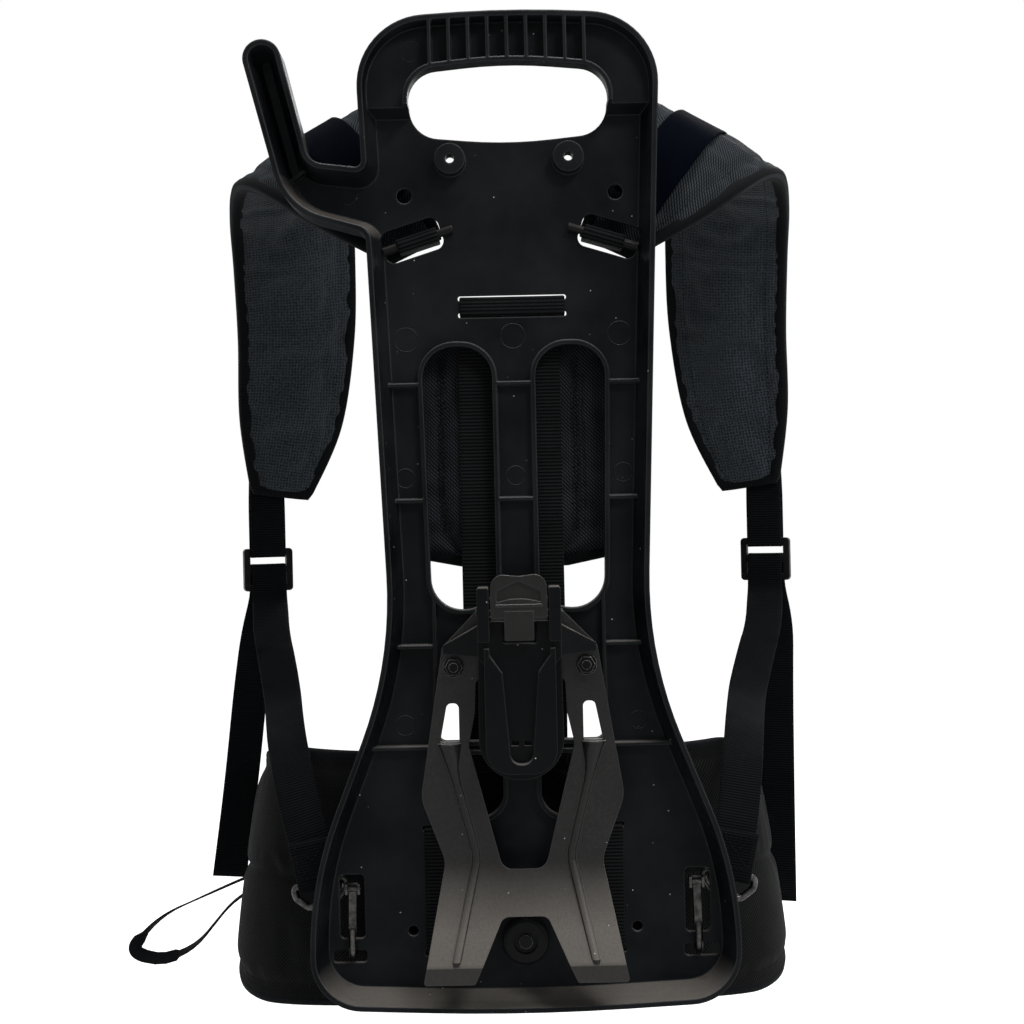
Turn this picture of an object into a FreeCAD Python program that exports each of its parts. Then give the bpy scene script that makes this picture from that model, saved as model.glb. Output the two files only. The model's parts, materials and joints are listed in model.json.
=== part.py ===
import FreeCAD, Part
import math
import os
import re

import Sketcher
from FreeCAD import Placement, Rotation, Vector

# Carrying frame of a backpack blower, in millimetres.
# +Z is up, +Y points from the back pad to the ladder locks, X = 0 is the middle plane, and the
# origin lies on the back plane, which the pad rests against. The moulded plate stands behind
# the pad, its open tray and the machine cradle face -Y.

SIZES = {
    # layers behind the back plane
    "pad_depth": 26.0,
    "webbing_gap": 4.0,
    "floor_thickness": 3.0,
    "rim_depth": 25.0,
    "rim_wall": 3.5,
    "tray_draft": 1.5,
    "floor_draft": 6.0,
    # outline of the back plate
    "plate_rise": 328.5,
    "shoulder_rise": 322.0,
    "handle_half": 99.9,
    "waist_half": 83.5,
    "waist_drop": 95.6,
    "hip_half": 140.5,
    "hip_drop": 240.4,
    "foot_drop": 321.5,
    "plate_drop": 327.8,
    "crown_radius": 800.0,
    "handle_radius": 46.0,
    "waist_radius": 266.0,
    "hip_radius": 250.0,
    "foot_radius": 34.0,
    "sole_radius": 1500.0,
    # hose arm on the left of the plate
    "arm_half": 12.5,
    "arm_lean": 13.9,
    "arm_reach": 162.7,
    "arm_rise": 310.8,
    "arm_root_low": 184.0,
    "arm_root_high": 226.3,
    "arm_elbow_out": 147.0,
    "arm_elbow_up": 199.1,
    "arm_elbow_radius": 42.0,
    "arm_crook_out": 130.1,
    "arm_crook_up": 230.5,
    "arm_crook_radius": 12.0,
    # carrying handle
    "step_rise": 267.0,
    "handle_recess": 11.0,
    "handle_web": 3.0,
    "grip_half": 65.5,
    "grip_top": 295.3,
    "grip_bottom": 244.5,
    "grip_arch": 6.3,
    "grip_radius": 20.0,
    "grip_wall": 3.0,
    "grip_rib": 2.2,
    "grip_rib_pitch": 12.6,
    # slots, ridges and holes of the plate
    "slot_inner": 14.3,
    "slot_outer": 60.9,
    "slot_taper": 3.7,
    "slot_top": 110.5,
    "slot_bottom": 64.0,
    "slot_radius": 21.0,
    "ridge_width": 3.0,
    "ridge_height": 6.0,
    "rib_thickness": 2.2,
    "window_top": 111.0,
    "window_bottom": 151.0,
    "window_inner": 22.0,
    "window_outer": 54.5,
    "vent_top": 160.0,
    "vent_bottom": 202.0,
    "vent_inner": 12.7,
    "vent_outer": 36.0,
    "boss_out": 39.2,
    "boss_rise": 234.0,
    "boss_radius": 10.2,
    "boss_height": 10.0,
    "boss_hole": 3.0,
    "side_hole_out": 70.2,
    "side_hole_rise": 211.5,
    "side_hole": 4.9,
    "strap_slot_out": 65.5,
    "strap_slot_rise": 182.0,
    "strap_slot_length": 40.0,
    "strap_slot_height": 22.0,
    "strap_slot_tilt": 17.3,
    "band_rise": 137.0,
    "band_width": 70.0,
    "band_bar": 7.4,
    "band_gap": 3.6,
    "corner_slot_out": 114.8,
    "corner_slot_width": 16.5,
    "corner_slot_top": 238.7,
    "corner_bar_top": 281.2,
    "corner_bar_height": 7.7,
    "corner_slot_low": 8.2,
    "foot_hole_out": 74.5,
    "foot_hole_drop": 277.0,
    "foot_hole": 3.4,
    "anchor_out": 52.0,
    "anchor_top": 209.0,
    "anchor_bottom": 292.0,
    # steel support bracket and its fasteners
    "bracket_standoff": 24.0,
    "bracket_sheet": 2.5,
    "bolt_out": 43.0,
    "bolt_drop": 99.7,
    "bolt_radius": 3.0,
    "bolt_slack": 0.3,
    "bolt_boss": 9.0,
    "nut_across": 10.0,
    "nut_height": 6.0,
    "nut_flange": 6.9,
    "bend_drop": 231.2,
    "bend_lean": 22.0,
    "lip_drop": 289.0,
    "toe_drop": 300.5,
    # machine cradle and its latch
    "cradle_base": 8.0,
    "cradle_block": 9.5,
    "cradle_rail": 7.0,
    "cradle_half": 26.75,
    "cradle_top": 70.5,
    "cradle_bottom": 173.0,
    "ear_top": 48.0,
    "ear_width": 7.6,
    "ear_proud": 2.0,
    "rail_half": 22.8,
    "rail_bottom": 167.0,
    "channel_top_half": 11.6,
    "channel_half": 7.0,
    "channel_bottom": 161.0,
    "wing_half": 51.0,
    "pin_radius": 2.0,
    "pin_drop": 64.0,
    "pin_depth": 10.0,
    "pin_clearance": 0.05,
    "latch_half": 18.2,
    "latch_top": 38.8,
    "latch_sheet": 5.0,
    "latch_barrel": 5.0,
    "tongue_half": 9.4,
    "tongue_bottom": 81.7,
    "spring_wire": 1.0,
    "spring_radius": 3.4,
    # straps and their hardware
    "webbing": 1.8,
    "loop_width": 28.0,
    "loop_shift": 4.0,
    "strap_width": 28.0,
    "tail_width": 25.0,
    "waist_width": 48.0,
    "rod_radius": 2.75,
    "rod_length": 48.2,
    "rod_shift": 4.3,
    "rod_sink": 2.0,
    "rod_clearance": 0.3,
    "shoulder_width": 92.0,
    "shoulder_edge": 9.0,
    "shoulder_crown": 3.0,
    "root_depth": 21.5,
    "lifter_width": 34.0,
    "lock_out": 200.0,
    "lock_ahead": 207.0,
    "lock_drop": 42.0,
    "lock_length": 34.0,
    "lock_bar": 5.0,
    "hook_wire": 2.4,
    "eye_out": 138.0,
    "eye_depth": 21.0,
    "eye_sink": 7.3,
    "eye_lean": 12.0,
    "shank_depth": 24.5,
    "gate_sheet": 1.6,
    "gate_barrel": 1.9,
    "gate_pin": 0.9,
    "gate_width": 6.0,
    # back pad and hip belt
    "back_pad_half": 82.0,
    "back_pad_top": 122.0,
    "back_pad_bottom": 31.0,
    "back_pad_edge": 12.0,
    "back_pad_crown": 5.5,
    "belt_thickness": 9.0,
    "belt_crown": 2.5,
    "belt_top": 165.0,
    "belt_bottom": 330.0,
    "belt_top_half": 176.0,
    "belt_bottom_half": 200.0,
    "belt_depth": 138.0,
    "belt_shift": 10.0,
    "belt_squareness": 2.6,
    # waist buckle
    "buckle_drop": 245.0,
    "buckle_ahead": 284.0,
    "buckle_half": 29.0,
    "buckle_thickness": 14.0,
    "buckle_length": 46.0,
    "male_length": 22.0,
    "buckle_wall": 2.4,
    "buckle_bar": 5.0,
    "plug_thickness": 10.0,
    "window_near": 14.0,
    "window_far": 34.0,
    "prong_width": 6.0,
    "prong_rise": 17.0,
    "prong_reach": 32.5,
    # pull loop on the belt's edge
    "pull_drop": 274.0,
    "pull_width": 10.0,
    # buffer on the lower plate
    "buffer_drop": 284.0,
    "buffer_radius": 15.5,
    "buffer_height": 9.0,
    "buffer_well": 8.0,
    "screw_radius": 2.5,
}

GRIP_RIBS = 9
SPRING_TURNS = 5
LEAST_EDGE = 0.1
DRAWN_DEPTH = 207.0

doc = FreeCAD.newDocument("carrying_frame")
sheet = doc.addObject("Spreadsheet::Sheet", "sizes")
for row, (alias, value) in enumerate(SIZES.items(), start=1):
    sheet.set("A%d" % row, alias)
    sheet.set("B%d" % row, str(value))
    sheet.setAlias("B%d" % row, alias)
doc.recompute()


def size(alias):
    return float(sheet.get(alias))


def eye_drop():
    """Drop of a hook's eye, which hangs a little below the top of its corner slot."""
    return size("corner_slot_top") + size("eye_sink")


def drawn(values):
    """Place on the harness, drawn with the locks DRAWN_DEPTH ahead of the back plane."""
    return Vector(*values) * (size("lock_ahead") / DRAWN_DEPTH)


def bind(formula):
    """Turn a formula of size names into one that reads the sheet."""
    return re.sub(r"[a-z_]{4,}", lambda word: "sizes." + word.group(0), formula)


def level(formula):
    """Value of a sum or difference of size names, in millimetres."""
    total = 0.0
    for sign, alias in re.findall(r"([+-]?)\s*([a-z_]+)", formula):
        total += -size(alias) if sign == "-" else size(alias)
    return total


# Depths are distances behind the back plane, so a depth d lies at Y = -d.
PLATE_BACK = "pad_depth + webbing_gap"
FLOOR = PLATE_BACK + " + floor_thickness"
RIM = FLOOR + " + rim_depth"
HANDLE_FLOOR = RIM + " - handle_recess"
BRACKET_BACK = FLOOR + " + bracket_standoff"
BRACKET_FRONT = BRACKET_BACK + " + bracket_sheet"
CRADLE_BASE = BRACKET_FRONT + " + cradle_base"
CRADLE_BLOCK = CRADLE_BASE + " + cradle_block"
CRADLE_RAIL = CRADLE_BLOCK + " + cradle_rail"
LATCH_FRONT = CRADLE_RAIL + " + ear_proud"
LATCH_BACK = LATCH_FRONT + " - latch_sheet"
PIN_DEPTH = LATCH_FRONT + " - pin_depth"

# The buckle lies ahead of the back plane, at negative depths.
BUCKLE_FRONT = "-buckle_ahead - buckle_thickness / 2"
BUCKLE_BACK = "-buckle_ahead + buckle_thickness / 2"
PLUG_FRONT = "-buckle_ahead - plug_thickness / 2"
PLUG_BACK = "-buckle_ahead + plug_thickness / 2"

nodes = {}


def keep(label, piece):
    """Name a finished sub-part."""
    piece.Label = label
    nodes[label] = piece
    return piece


def feature(label, shape):
    """A sub-part whose free form is made from curves."""
    piece = doc.addObject("Part::Feature", label)
    piece.Shape = shape
    return keep(label, piece)


# Outlines are drawn in the X-Z plane as corner points (x, z, fillet radius).

def mirrored(half):
    """Whole outline from its right half, which runs from top to bottom."""
    left = [(-x, z, r) for x, z, r in reversed(half) if abs(x) > 1e-9]
    return half + left


def inset_corners(corners, inset):
    """Corners of the parallel outline that lies inset inside the first."""
    count = len(corners)
    turn = sum(corners[i - 1][0] * corners[i][1] - corners[i][0] * corners[i - 1][1]
               for i in range(count))
    inward = 1.0 if turn > 0 else -1.0
    moved = []
    for i, (x, z, radius) in enumerate(corners):
        here = Vector(x, z, 0)
        back = Vector(corners[i - 1][0], corners[i - 1][1], 0)
        ahead = Vector(corners[(i + 1) % count][0], corners[(i + 1) % count][1], 0)
        into = (here - back).normalize()
        out = (ahead - here).normalize()
        side_in = Vector(-into.y, into.x, 0) * inward
        side_out = Vector(-out.y, out.x, 0) * inward
        shift = (side_in + side_out) * (inset / (1.0 + side_in.dot(side_out)))
        bulges = (into.x * out.y - into.y * out.x) * inward > 0
        new_radius = radius - inset if bulges else radius + inset
        place = here + shift
        moved.append((place.x, place.y, max(new_radius, 0.0)))
    return moved


def corner_at(points, i):
    """Directions into and out of a point of a path, and the angle between them."""
    here = points[i][0]
    into = (here - points[i - 1][0]).normalize()
    out = (points[(i + 1) % len(points)][0] - here).normalize()
    return into, out, into.getAngle(out)


def fillet_reaches(points, closed):
    """Length of its runs that each fillet takes; a run too short for its two limits both."""
    count = len(points)
    wanted = []
    for i, (here, radius) in enumerate(points):
        turn = corner_at(points, i)[2]
        at_end = not closed and i in (0, count - 1)
        sharp = radius < 0.05 or turn < 0.001 or at_end
        wanted.append(0.0 if sharp else radius * math.tan(turn / 2))
    reaches = list(wanted)
    for i in range(count if closed else count - 1):
        ahead = (i + 1) % count
        room = points[i][0].distanceToPoint(points[ahead][0])
        both = wanted[i] + wanted[ahead]
        if both > room:
            for k in (i, ahead):
                reaches[k] = min(reaches[k], wanted[k] * (room - LEAST_EDGE) / both)
    return reaches


def bent_path(points, closed):
    """Lines and tangent arcs along points (place, radius)."""
    bends = []
    reaches = fillet_reaches(points, closed)
    for i, (here, wanted) in enumerate(points):
        into, out, turn = corner_at(points, i)
        reach = reaches[i]
        if reach == 0.0:
            bends.append((here, None, here))
            continue
        radius = reach / math.tan(turn / 2)
        middle = (out - into).normalize() * (radius / math.cos(turn / 2) - radius)
        bends.append((here - into * reach, here + middle, here + out * reach))
    curves = []
    for i, (start, middle, end) in enumerate(bends):
        before = bends[i - 1][2]
        if (closed or i) and before.distanceToPoint(start) > 1e-6:
            curves.append(Part.LineSegment(before, start))
        if middle is not None:
            curves.append(Part.Arc(start, middle, end))
    return curves


def rounded(corners, inset=0.0):
    """Lines and tangent arcs of a closed outline with filleted corners."""
    if inset:
        corners = inset_corners(corners, inset)
    return bent_path([(Vector(x, z, 0), radius) for x, z, radius in corners], True)


def rectangle(x, z, width, height, radius=0.0, tilt=0.0):
    """Corners of a rectangle about (x, z), turned by tilt degrees."""
    cosine = math.cos(math.radians(tilt))
    sine = math.sin(math.radians(tilt))
    corners = []
    for right, up in ((-1, 1), (1, 1), (1, -1), (-1, -1)):
        across = right * width / 2
        rise = up * height / 2
        corners.append((x + across * cosine - rise * sine,
                        z + across * sine + rise * cosine, radius))
    return corners


def new_body(label):
    return keep(label, doc.addObject("PartDesign::Body", label))


def sketch_on(body, role, name, distance):
    """Empty sketch on one of the body's own planes, moved along its normal."""
    plane = next(item for item in body.Origin.OriginFeatures if item.Role == role)
    sketch = body.newObject("Sketcher::SketchObject", name)
    sketch.AttachmentSupport = [(plane, "")]
    sketch.MapMode = "FlatFace"
    sketch.setExpression("AttachmentOffset.Base.z", bind(distance))
    return sketch


def face_sketch(body, name, depth, outlines, inset=0.0):
    """Sketch of filleted outlines at a depth behind the back plane."""
    sketch = sketch_on(body, "XZ_Plane", name, depth)
    for corners in outlines:
        sketch.addGeometry(rounded(corners, inset), False)
    return sketch


def add_circles(sketch, circles):
    """Add circles, each bound to the sizes (x, z, radius) that it is given."""
    for x, z, radius in circles:
        place = Vector(signed_level(x), signed_level(z), 0)
        ring = sketch.addGeometry(Part.Circle(place, Vector(0, 0, 1), level(radius)), False)
        spot = sketch.addConstraint(Sketcher.Constraint("Radius", ring, level(radius)))
        sketch.setExpression("Constraints[%d]" % spot, bind(radius))
        for kind, formula, value in (("DistanceX", x, place.x), ("DistanceY", z, place.y)):
            if formula == "":
                axis = -2 if kind == "DistanceX" else -1
                sketch.addConstraint(Sketcher.Constraint("PointOnObject", ring, 3, axis))
                continue
            spot = sketch.addConstraint(Sketcher.Constraint(kind, -1, 1, ring, 3, value))
            sketch.setExpression("Constraints[%d]" % spot, bind(formula))
    return sketch


def signed_level(formula):
    return level(formula) if formula else 0.0


def pad(body, sketch, length, both_ways=False):
    """Raise a sketch along its plane's normal."""
    step = body.newObject("PartDesign::Pad", sketch.Name + "_pad")
    step.Profile = sketch
    step.Refine = False
    step.Midplane = both_ways
    step.setExpression("Length", bind(length))
    sketch.Visibility = False
    doc.recompute()
    return step


def pocket(body, sketch, length="", forward=False):
    """Cut a sketch into the body, against its normal; with no length it cuts both ways."""
    before = body.Shape.Volume
    step = body.newObject("PartDesign::Pocket", sketch.Name + "_pocket")
    step.Profile = sketch
    step.Refine = False
    step.Reversed = forward
    if length:
        step.setExpression("Length", bind(length))
    else:
        step.Midplane = True
        step.Type = "ThroughAll"
    doc.recompute()
    if step.Shape.Volume > before - 0.5:
        raise RuntimeError("%s cuts nothing" % sketch.Name)
    return step


def drafted_pocket(body, near, far):
    """Cut a hollow whose wall leans from one outline to a smaller, deeper one."""
    before = body.Shape.Volume
    step = body.newObject("PartDesign::SubtractiveLoft", near.Name + "_hollow")
    step.Profile = near
    step.Refine = False
    step.Sections = [far]
    step.Ruled = True
    doc.recompute()
    if step.Shape.Volume > before - 0.5:
        raise RuntimeError("%s cuts nothing" % near.Name)
    return step


# Back plate

def arm_corners():
    """Hose arm on the left of the plate, from its root under the handle to its lower root."""
    lean = math.radians(size("arm_lean"))
    tip = Vector(-size("arm_reach"), size("arm_rise"), 0)
    side = Vector(math.cos(lean), math.sin(lean), 0) * size("arm_half")
    round_end = size("arm_half") - 0.1
    inner = tip + side
    outer = tip - side
    return [
        (-size("arm_crook_out"), size("arm_crook_up"), size("arm_crook_radius")),
        (inner.x, inner.y, round_end),
        (outer.x, outer.y, round_end),
        (-size("arm_elbow_out"), size("arm_elbow_up"), size("arm_elbow_radius")),
    ]


def side_out(height):
    """Half width of the plate between the handle and the waist."""
    slope = (size("handle_half") - size("waist_half")) / (size("shoulder_rise") + size("waist_drop"))
    return size("waist_half") + slope * (height + size("waist_drop"))


def plate_corners(top=None):
    """Plate outline with its arm; top cuts it off level at that height."""
    if top is None:
        crown = [(0.0, size("plate_rise"), size("crown_radius")),
                 (size("handle_half"), size("shoulder_rise"), size("handle_radius"))]
        last = [(-size("handle_half"), size("shoulder_rise"), size("handle_radius"))]
    else:
        crown = [(side_out(top), top, 0.0)]
        last = [(-side_out(top), top, 0.0)]
    lower = [
        (size("waist_half"), -size("waist_drop"), size("waist_radius")),
        (size("hip_half"), -size("hip_drop"), size("hip_radius")),
        (size("hip_half"), -size("foot_drop"), size("foot_radius")),
        (0.0, -size("plate_drop"), size("sole_radius")),
        (-size("hip_half"), -size("foot_drop"), size("foot_radius")),
        (-size("hip_half"), -size("hip_drop"), size("hip_radius")),
        (-size("waist_half"), -size("waist_drop"), size("waist_radius")),
    ]
    low_root = (-side_out(size("arm_root_low")), size("arm_root_low"), 8.0)
    high_root = (-side_out(size("arm_root_high")), size("arm_root_high"), 4.0)
    arm = list(reversed(arm_corners()))
    return crown + lower + [low_root] + arm + [high_root] + last


def grip_corners():
    """Opening of the carrying handle, from its top middle clockwise."""
    upper = size("grip_top") - size("grip_arch")
    lower = size("grip_bottom") + size("grip_arch")
    return mirrored([
        (0.0, size("grip_top"), 300.0),
        (size("grip_half"), upper, size("grip_radius")),
        (size("grip_half"), lower, size("grip_radius")),
        (0.0, size("grip_bottom"), 300.0),
    ])


def arch_band(outer, inner, foot):
    """Arch between the tops of two outlines, standing on the height foot."""
    top, right, left = outer[0], outer[1], outer[-1]
    low, inner_right, inner_left = inner[0], inner[1], inner[-1]
    return [
        top, right, (right[0], foot, 0.0), (inner_right[0], foot, 0.0),
        inner_right, low, inner_left,
        (inner_left[0], foot, 0.0), (left[0], foot, 0.0), left,
    ]


def long_slot(side):
    """Long slot beside the middle web; side is 1 on the right and -1 on the left."""
    inner = side * size("slot_inner")
    top_out = side * size("slot_outer")
    low_out = side * (size("slot_outer") - size("slot_taper"))
    round_end = size("slot_radius")
    return [(inner, size("slot_top"), round_end), (top_out, size("slot_top"), round_end),
            (low_out, -size("slot_bottom"), round_end), (inner, -size("slot_bottom"), round_end)]


def window(side):
    """Upper opening behind a bracket arm."""
    width = size("window_outer") - size("window_inner")
    height = size("window_bottom") - size("window_top")
    x = side * (size("window_outer") + size("window_inner")) / 2
    return rectangle(x, -(size("window_top") + size("window_bottom")) / 2, width, height, 5.0)


def vent(side):
    """Lower opening beside the web under the cradle; its low inner corner is wide and round."""
    inner, outer = side * size("vent_inner"), side * size("vent_outer")
    top, bottom = -size("vent_top"), -size("vent_bottom")
    return [(inner, top, 3.0), (outer, top, 3.0), (outer, bottom, 3.0), (inner, bottom, 16.0)]


def strap_slot(side):
    """Tilted slot for a shoulder strap loop; its inner end stands higher."""
    return rectangle(side * size("strap_slot_out"), size("strap_slot_rise"),
                     size("strap_slot_length"), size("strap_slot_height"), 6.0,
                     -side * size("strap_slot_tilt"))


def corner_slots(side):
    """Large and small slot of a lower corner, one above and one below the hook bar."""
    x = side * size("corner_slot_out")
    top, bar_top = size("corner_slot_top"), size("corner_bar_top")
    low_top = bar_top + size("corner_bar_height")
    width, low = size("corner_slot_width"), size("corner_slot_low")
    low_width = width + 6.0
    return [
        rectangle(x, -(top + bar_top) / 2, width, bar_top - top, 3.0),
        rectangle(x + side * 2.0, -(low_top + low / 2), low_width, low, 2.5),
    ]


def narrow_slots():
    """Slots that webbing passes through flat: at the band bar and the belt anchors."""
    reach = (size("band_bar") + size("band_gap")) / 2
    slots = []
    for up in (reach, -reach):
        slots.append(rectangle(0.0, size("band_rise") + up, size("band_width") + 2.0,
                               size("band_gap"), 1.5))
    for side in (-1, 1):
        for drop in (size("anchor_top"), size("anchor_bottom")):
            slots.append(rectangle(side * size("anchor_out"), -drop,
                                   size("strap_width") + 2.0, size("band_gap"), 1.5))
    return slots


def grip_ribs():
    """Thin ribs across the grip, from its inner wall to the rim."""
    ribs = []
    for i in range(GRIP_RIBS):
        x = (i - (GRIP_RIBS - 1) / 2) * size("grip_rib_pitch")
        rim_slope = (size("plate_rise") - size("shoulder_rise")) / size("handle_half")
        wall_slope = size("grip_arch") / size("grip_half")
        top = size("plate_rise") - 3.3 - rim_slope * abs(x)
        foot = size("grip_top") + 0.8 - wall_slope * abs(x)
        ribs.append(rectangle(x, (top + foot) / 2, size("grip_rib"), top - foot))
    return ribs


def edge_out(height):
    """Half width of the plate's outline at a height below the handle."""
    if height > -size("waist_drop"):
        return side_out(height)
    share = (-height - size("waist_drop")) / (size("hip_drop") - size("waist_drop"))
    return size("waist_half") + share * (size("hip_half") - size("waist_half"))


def floor_ribs():
    """Stiffening ribs on the tray floor, from the slots and the web to the rim."""
    thick = size("rib_thickness")
    slot_out = size("slot_outer") - size("slot_taper") / 2
    web = 2 * size("slot_inner")
    upper, middle = size("slot_top") - 25.0, 8.8
    lower = -size("slot_bottom") - 24.0
    foot = -size("window_bottom") - 4.0
    ribs = []
    for height in (upper, middle):
        ribs.append(rectangle(0.0, height, web - 1.0, thick))
    for side in (-1, 1):
        for height, start in ((upper, slot_out + 1.2), (middle, slot_out + 0.8),
                              (lower, slot_out - 1.6), (foot, slot_out - 3.0)):
            end = edge_out(height) - 1.5
            ribs.append(rectangle(side * (start + end) / 2, height, end - start, thick))
    return ribs


def arm_rib():
    """Rib across the hose arm, from its crook to its outer wall."""
    x, z = -size("arm_crook_out") - 9.4, size("arm_crook_up") - 4.8
    return rectangle(x, z, 20.0, size("rib_thickness"), 0.0, 37.0)


def side_ribs():
    """Upright ribs that carry the outer edges of the long slots down to the lowest rib."""
    top, foot = -size("slot_bottom") + 14.0, -size("window_bottom") - 4.0
    x = size("slot_outer") - size("slot_taper") - 1.2
    return [rectangle(side * x, (top + foot) / 2, size("rib_thickness"), top - foot)
            for side in (-1, 1)]


def both_sides(out, height, radius):
    """One circle on each side of the middle plane."""
    return [("-" + out, height, radius), (out, height, radius)]


def plate_holes():
    """Round through holes of the plate."""
    holes = [("", "-buffer_drop", "screw_radius")]
    holes += both_sides("boss_out", "boss_rise", "boss_hole")
    holes += both_sides("side_hole_out", "side_hole_rise", "side_hole")
    holes += both_sides("foot_hole_out", "-foot_hole_drop", "foot_hole")
    return holes + both_sides("bolt_out", "-bolt_drop", "bolt_radius + bolt_slack")


def make_back_plate():
    body = new_body("back_plate")
    pad(body, face_sketch(body, "panel", PLATE_BACK, [plate_corners()]),
        "floor_thickness + rim_depth")
    tray_inset = size("rim_wall") + size("tray_draft")
    drafted_pocket(body,
                   face_sketch(body, "tray_mouth", RIM, [plate_corners()], size("rim_wall")),
                   face_sketch(body, "tray_floor", HANDLE_FLOOR, [plate_corners()], tray_inset))
    well = plate_corners(size("step_rise") + tray_inset)
    floor_inset = size("rim_wall") + size("floor_draft")
    drafted_pocket(body,
                   face_sketch(body, "well_mouth", HANDLE_FLOOR, [well], tray_inset),
                   face_sketch(body, "well_floor", FLOOR, [well], floor_inset))

    grip = grip_corners()
    grip_out = inset_corners(grip, -size("grip_wall"))
    wall = arch_band(grip_out, grip, size("step_rise"))
    pad(body, face_sketch(body, "grip_wall", HANDLE_FLOOR, [wall]), "handle_recess")
    rim_inside = inset_corners(plate_corners(), size("rim_wall"))
    hollow = arch_band(rim_inside, inset_corners(grip, 0.5),
                       size("step_rise") + size("handle_web"))
    behind = face_sketch(body, "handle_back", PLATE_BACK, [hollow])
    pocket(body, behind, HANDLE_FLOOR + " - handle_web - pad_depth - webbing_gap", True)

    bosses = face_sketch(body, "hole_bosses", FLOOR, [])
    add_circles(bosses, both_sides("boss_out", "boss_rise", "boss_radius"))
    pad(body, bosses, "boss_height")
    pillars = face_sketch(body, "bracket_bosses", FLOOR, [])
    add_circles(pillars, both_sides("bolt_out", "-bolt_drop", "bolt_boss"))
    pad(body, pillars, "bracket_standoff")

    framed = [long_slot(-1), long_slot(1), window(-1), window(1), vent(-1), vent(1)]
    pad(body, face_sketch(body, "slot_ridges", FLOOR, framed, -size("ridge_width")),
        "ridge_height")
    pad(body, face_sketch(body, "floor_ribs", FLOOR, floor_ribs()), "ridge_height")
    pad(body, face_sketch(body, "side_ribs", FLOOR, side_ribs() + [arm_rib()]), "ridge_height")
    pad(body, face_sketch(body, "grip_ribs", HANDLE_FLOOR, grip_ribs()), "handle_recess")

    plain = [grip, strap_slot(-1), strap_slot(1)] + narrow_slots()
    plain += corner_slots(-1) + corner_slots(1)
    through = add_circles(face_sketch(body, "openings", FLOOR, []), plate_holes())
    for corners in framed + plain:
        through.addGeometry(rounded(corners), False)
    pocket(body, through)


# Steel support bracket

def outline_face(corners):
    return Part.Face(Part.Wire([curve.toShape() for curve in rounded(corners)]))


def prism(corners, near, far):
    """Solid between two depths behind the back plane, with a filleted outline."""
    face = outline_face(corners)
    face.Placement = Placement(Vector(0, -near, 0), Rotation(Vector(1, 0, 0), 90))
    return face.extrude(Vector(0, near - far, 0))


def side_slab(corners, width, middle=Vector(0, 0, 0), tilt=0.0):
    """Solid of a Y-Z outline, as wide as given along X, turned by tilt degrees about Y."""
    upright = Rotation(Vector(0, 1, 0), Vector(0, 0, 1), Vector(1, 0, 0), "XYZ")
    turn = Rotation(Vector(0, 1, 0), tilt)
    face = outline_face(corners)
    across = turn.multVec(Vector(1, 0, 0))
    face.Placement = Placement(middle - across * (width / 2), turn.multiply(upright))
    return face.extrude(across * width)


def strip_corners(path, thickness):
    """Outline of a strip of even thickness along an open path of (u, v, radius)."""
    sides = ([], [])
    last = len(path) - 1
    for i, (u, v, radius) in enumerate(path):
        here = Vector(u, v, 0)
        back = Vector(path[max(i - 1, 0)][0], path[max(i - 1, 0)][1], 0)
        ahead = Vector(path[min(i + 1, last)][0], path[min(i + 1, last)][1], 0)
        into = (here - back) if i else (ahead - here)
        out = (ahead - here) if i < last else into
        into = Vector(into).normalize()
        out = Vector(out).normalize()
        left_in = Vector(-into.y, into.x, 0)
        left_out = Vector(-out.y, out.x, 0)
        shift = (left_in + left_out) * (thickness / 2 / (1.0 + left_in.dot(left_out)))
        turns_left = into.x * out.y - into.y * out.x > 0
        for side, sign in zip(sides, (1, -1)):
            place = here + shift * sign
            inner = turns_left == (sign > 0)
            bend = radius + (-thickness / 2 if inner else thickness / 2) if radius else 0.0
            side.append((place.x, place.y, max(bend, 0.0)))
    return sides[0] + sides[1][::-1]


def bracket_top():
    return -size("pin_drop")


def bent_sheet():
    """Sheet bent to the bracket's side view, wider than the bracket."""
    middle = -(level(BRACKET_BACK) + size("bracket_sheet") / 2)
    lean = math.tan(math.radians(size("bend_lean")))
    out = middle - (size("lip_drop") - size("bend_drop")) * lean
    path = [(middle, bracket_top() + 2.0, 0.0), (middle, -size("bend_drop"), 45.0),
            (out, -size("lip_drop"), 5.0), (out, -size("toe_drop") - 1.0, 0.0)]
    return side_slab(strip_corners(path, size("bracket_sheet")), 3 * size("wing_half"))


def bracket_corners():
    """Front view of the bracket: two arms that draw in to a waist and spread to two feet."""
    top = bracket_top()
    toe = -size("toe_drop")
    return mirrored([
        (0.0, top, 0.0),
        (28.0, top, 4.0),
        (size("wing_half") - 0.5, -87.0, 8.0),
        (66.2, -185.0, 25.0),
        (51.0, -226.0, 18.0),
        (65.8, toe, 2.0),
        (32.9, toe, 2.0),
        (14.3, -260.3, 6.0),
    ])


def bracket_gap_corners():
    """Gap between the arms, below the bridge that carries the cradle."""
    return mirrored([(29.0, -108.0, 4.0), (29.8, -130.0, 12.0), (34.4, -151.0, 8.0),
                     (13.9, -size("bend_drop") - 0.5, 8.0)])


def bracket_window_corners(side):
    """Tapered window above the louvre of an arm."""
    sill = -148.6
    return [(side * 40.4, -123.5, 3.4), (side * 48.0, -123.5, 3.4),
            (side * 52.9, sill, 0.8), (side * 40.4, sill, 0.8)]


def sheet_front(height):
    """Y of the bracket's front face at a height."""
    lean = math.tan(math.radians(size("bend_lean")))
    drop = min(max(-height - size("bend_drop"), 0.0), size("lip_drop") - size("bend_drop"))
    return -level(BRACKET_FRONT) - drop * lean


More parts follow.
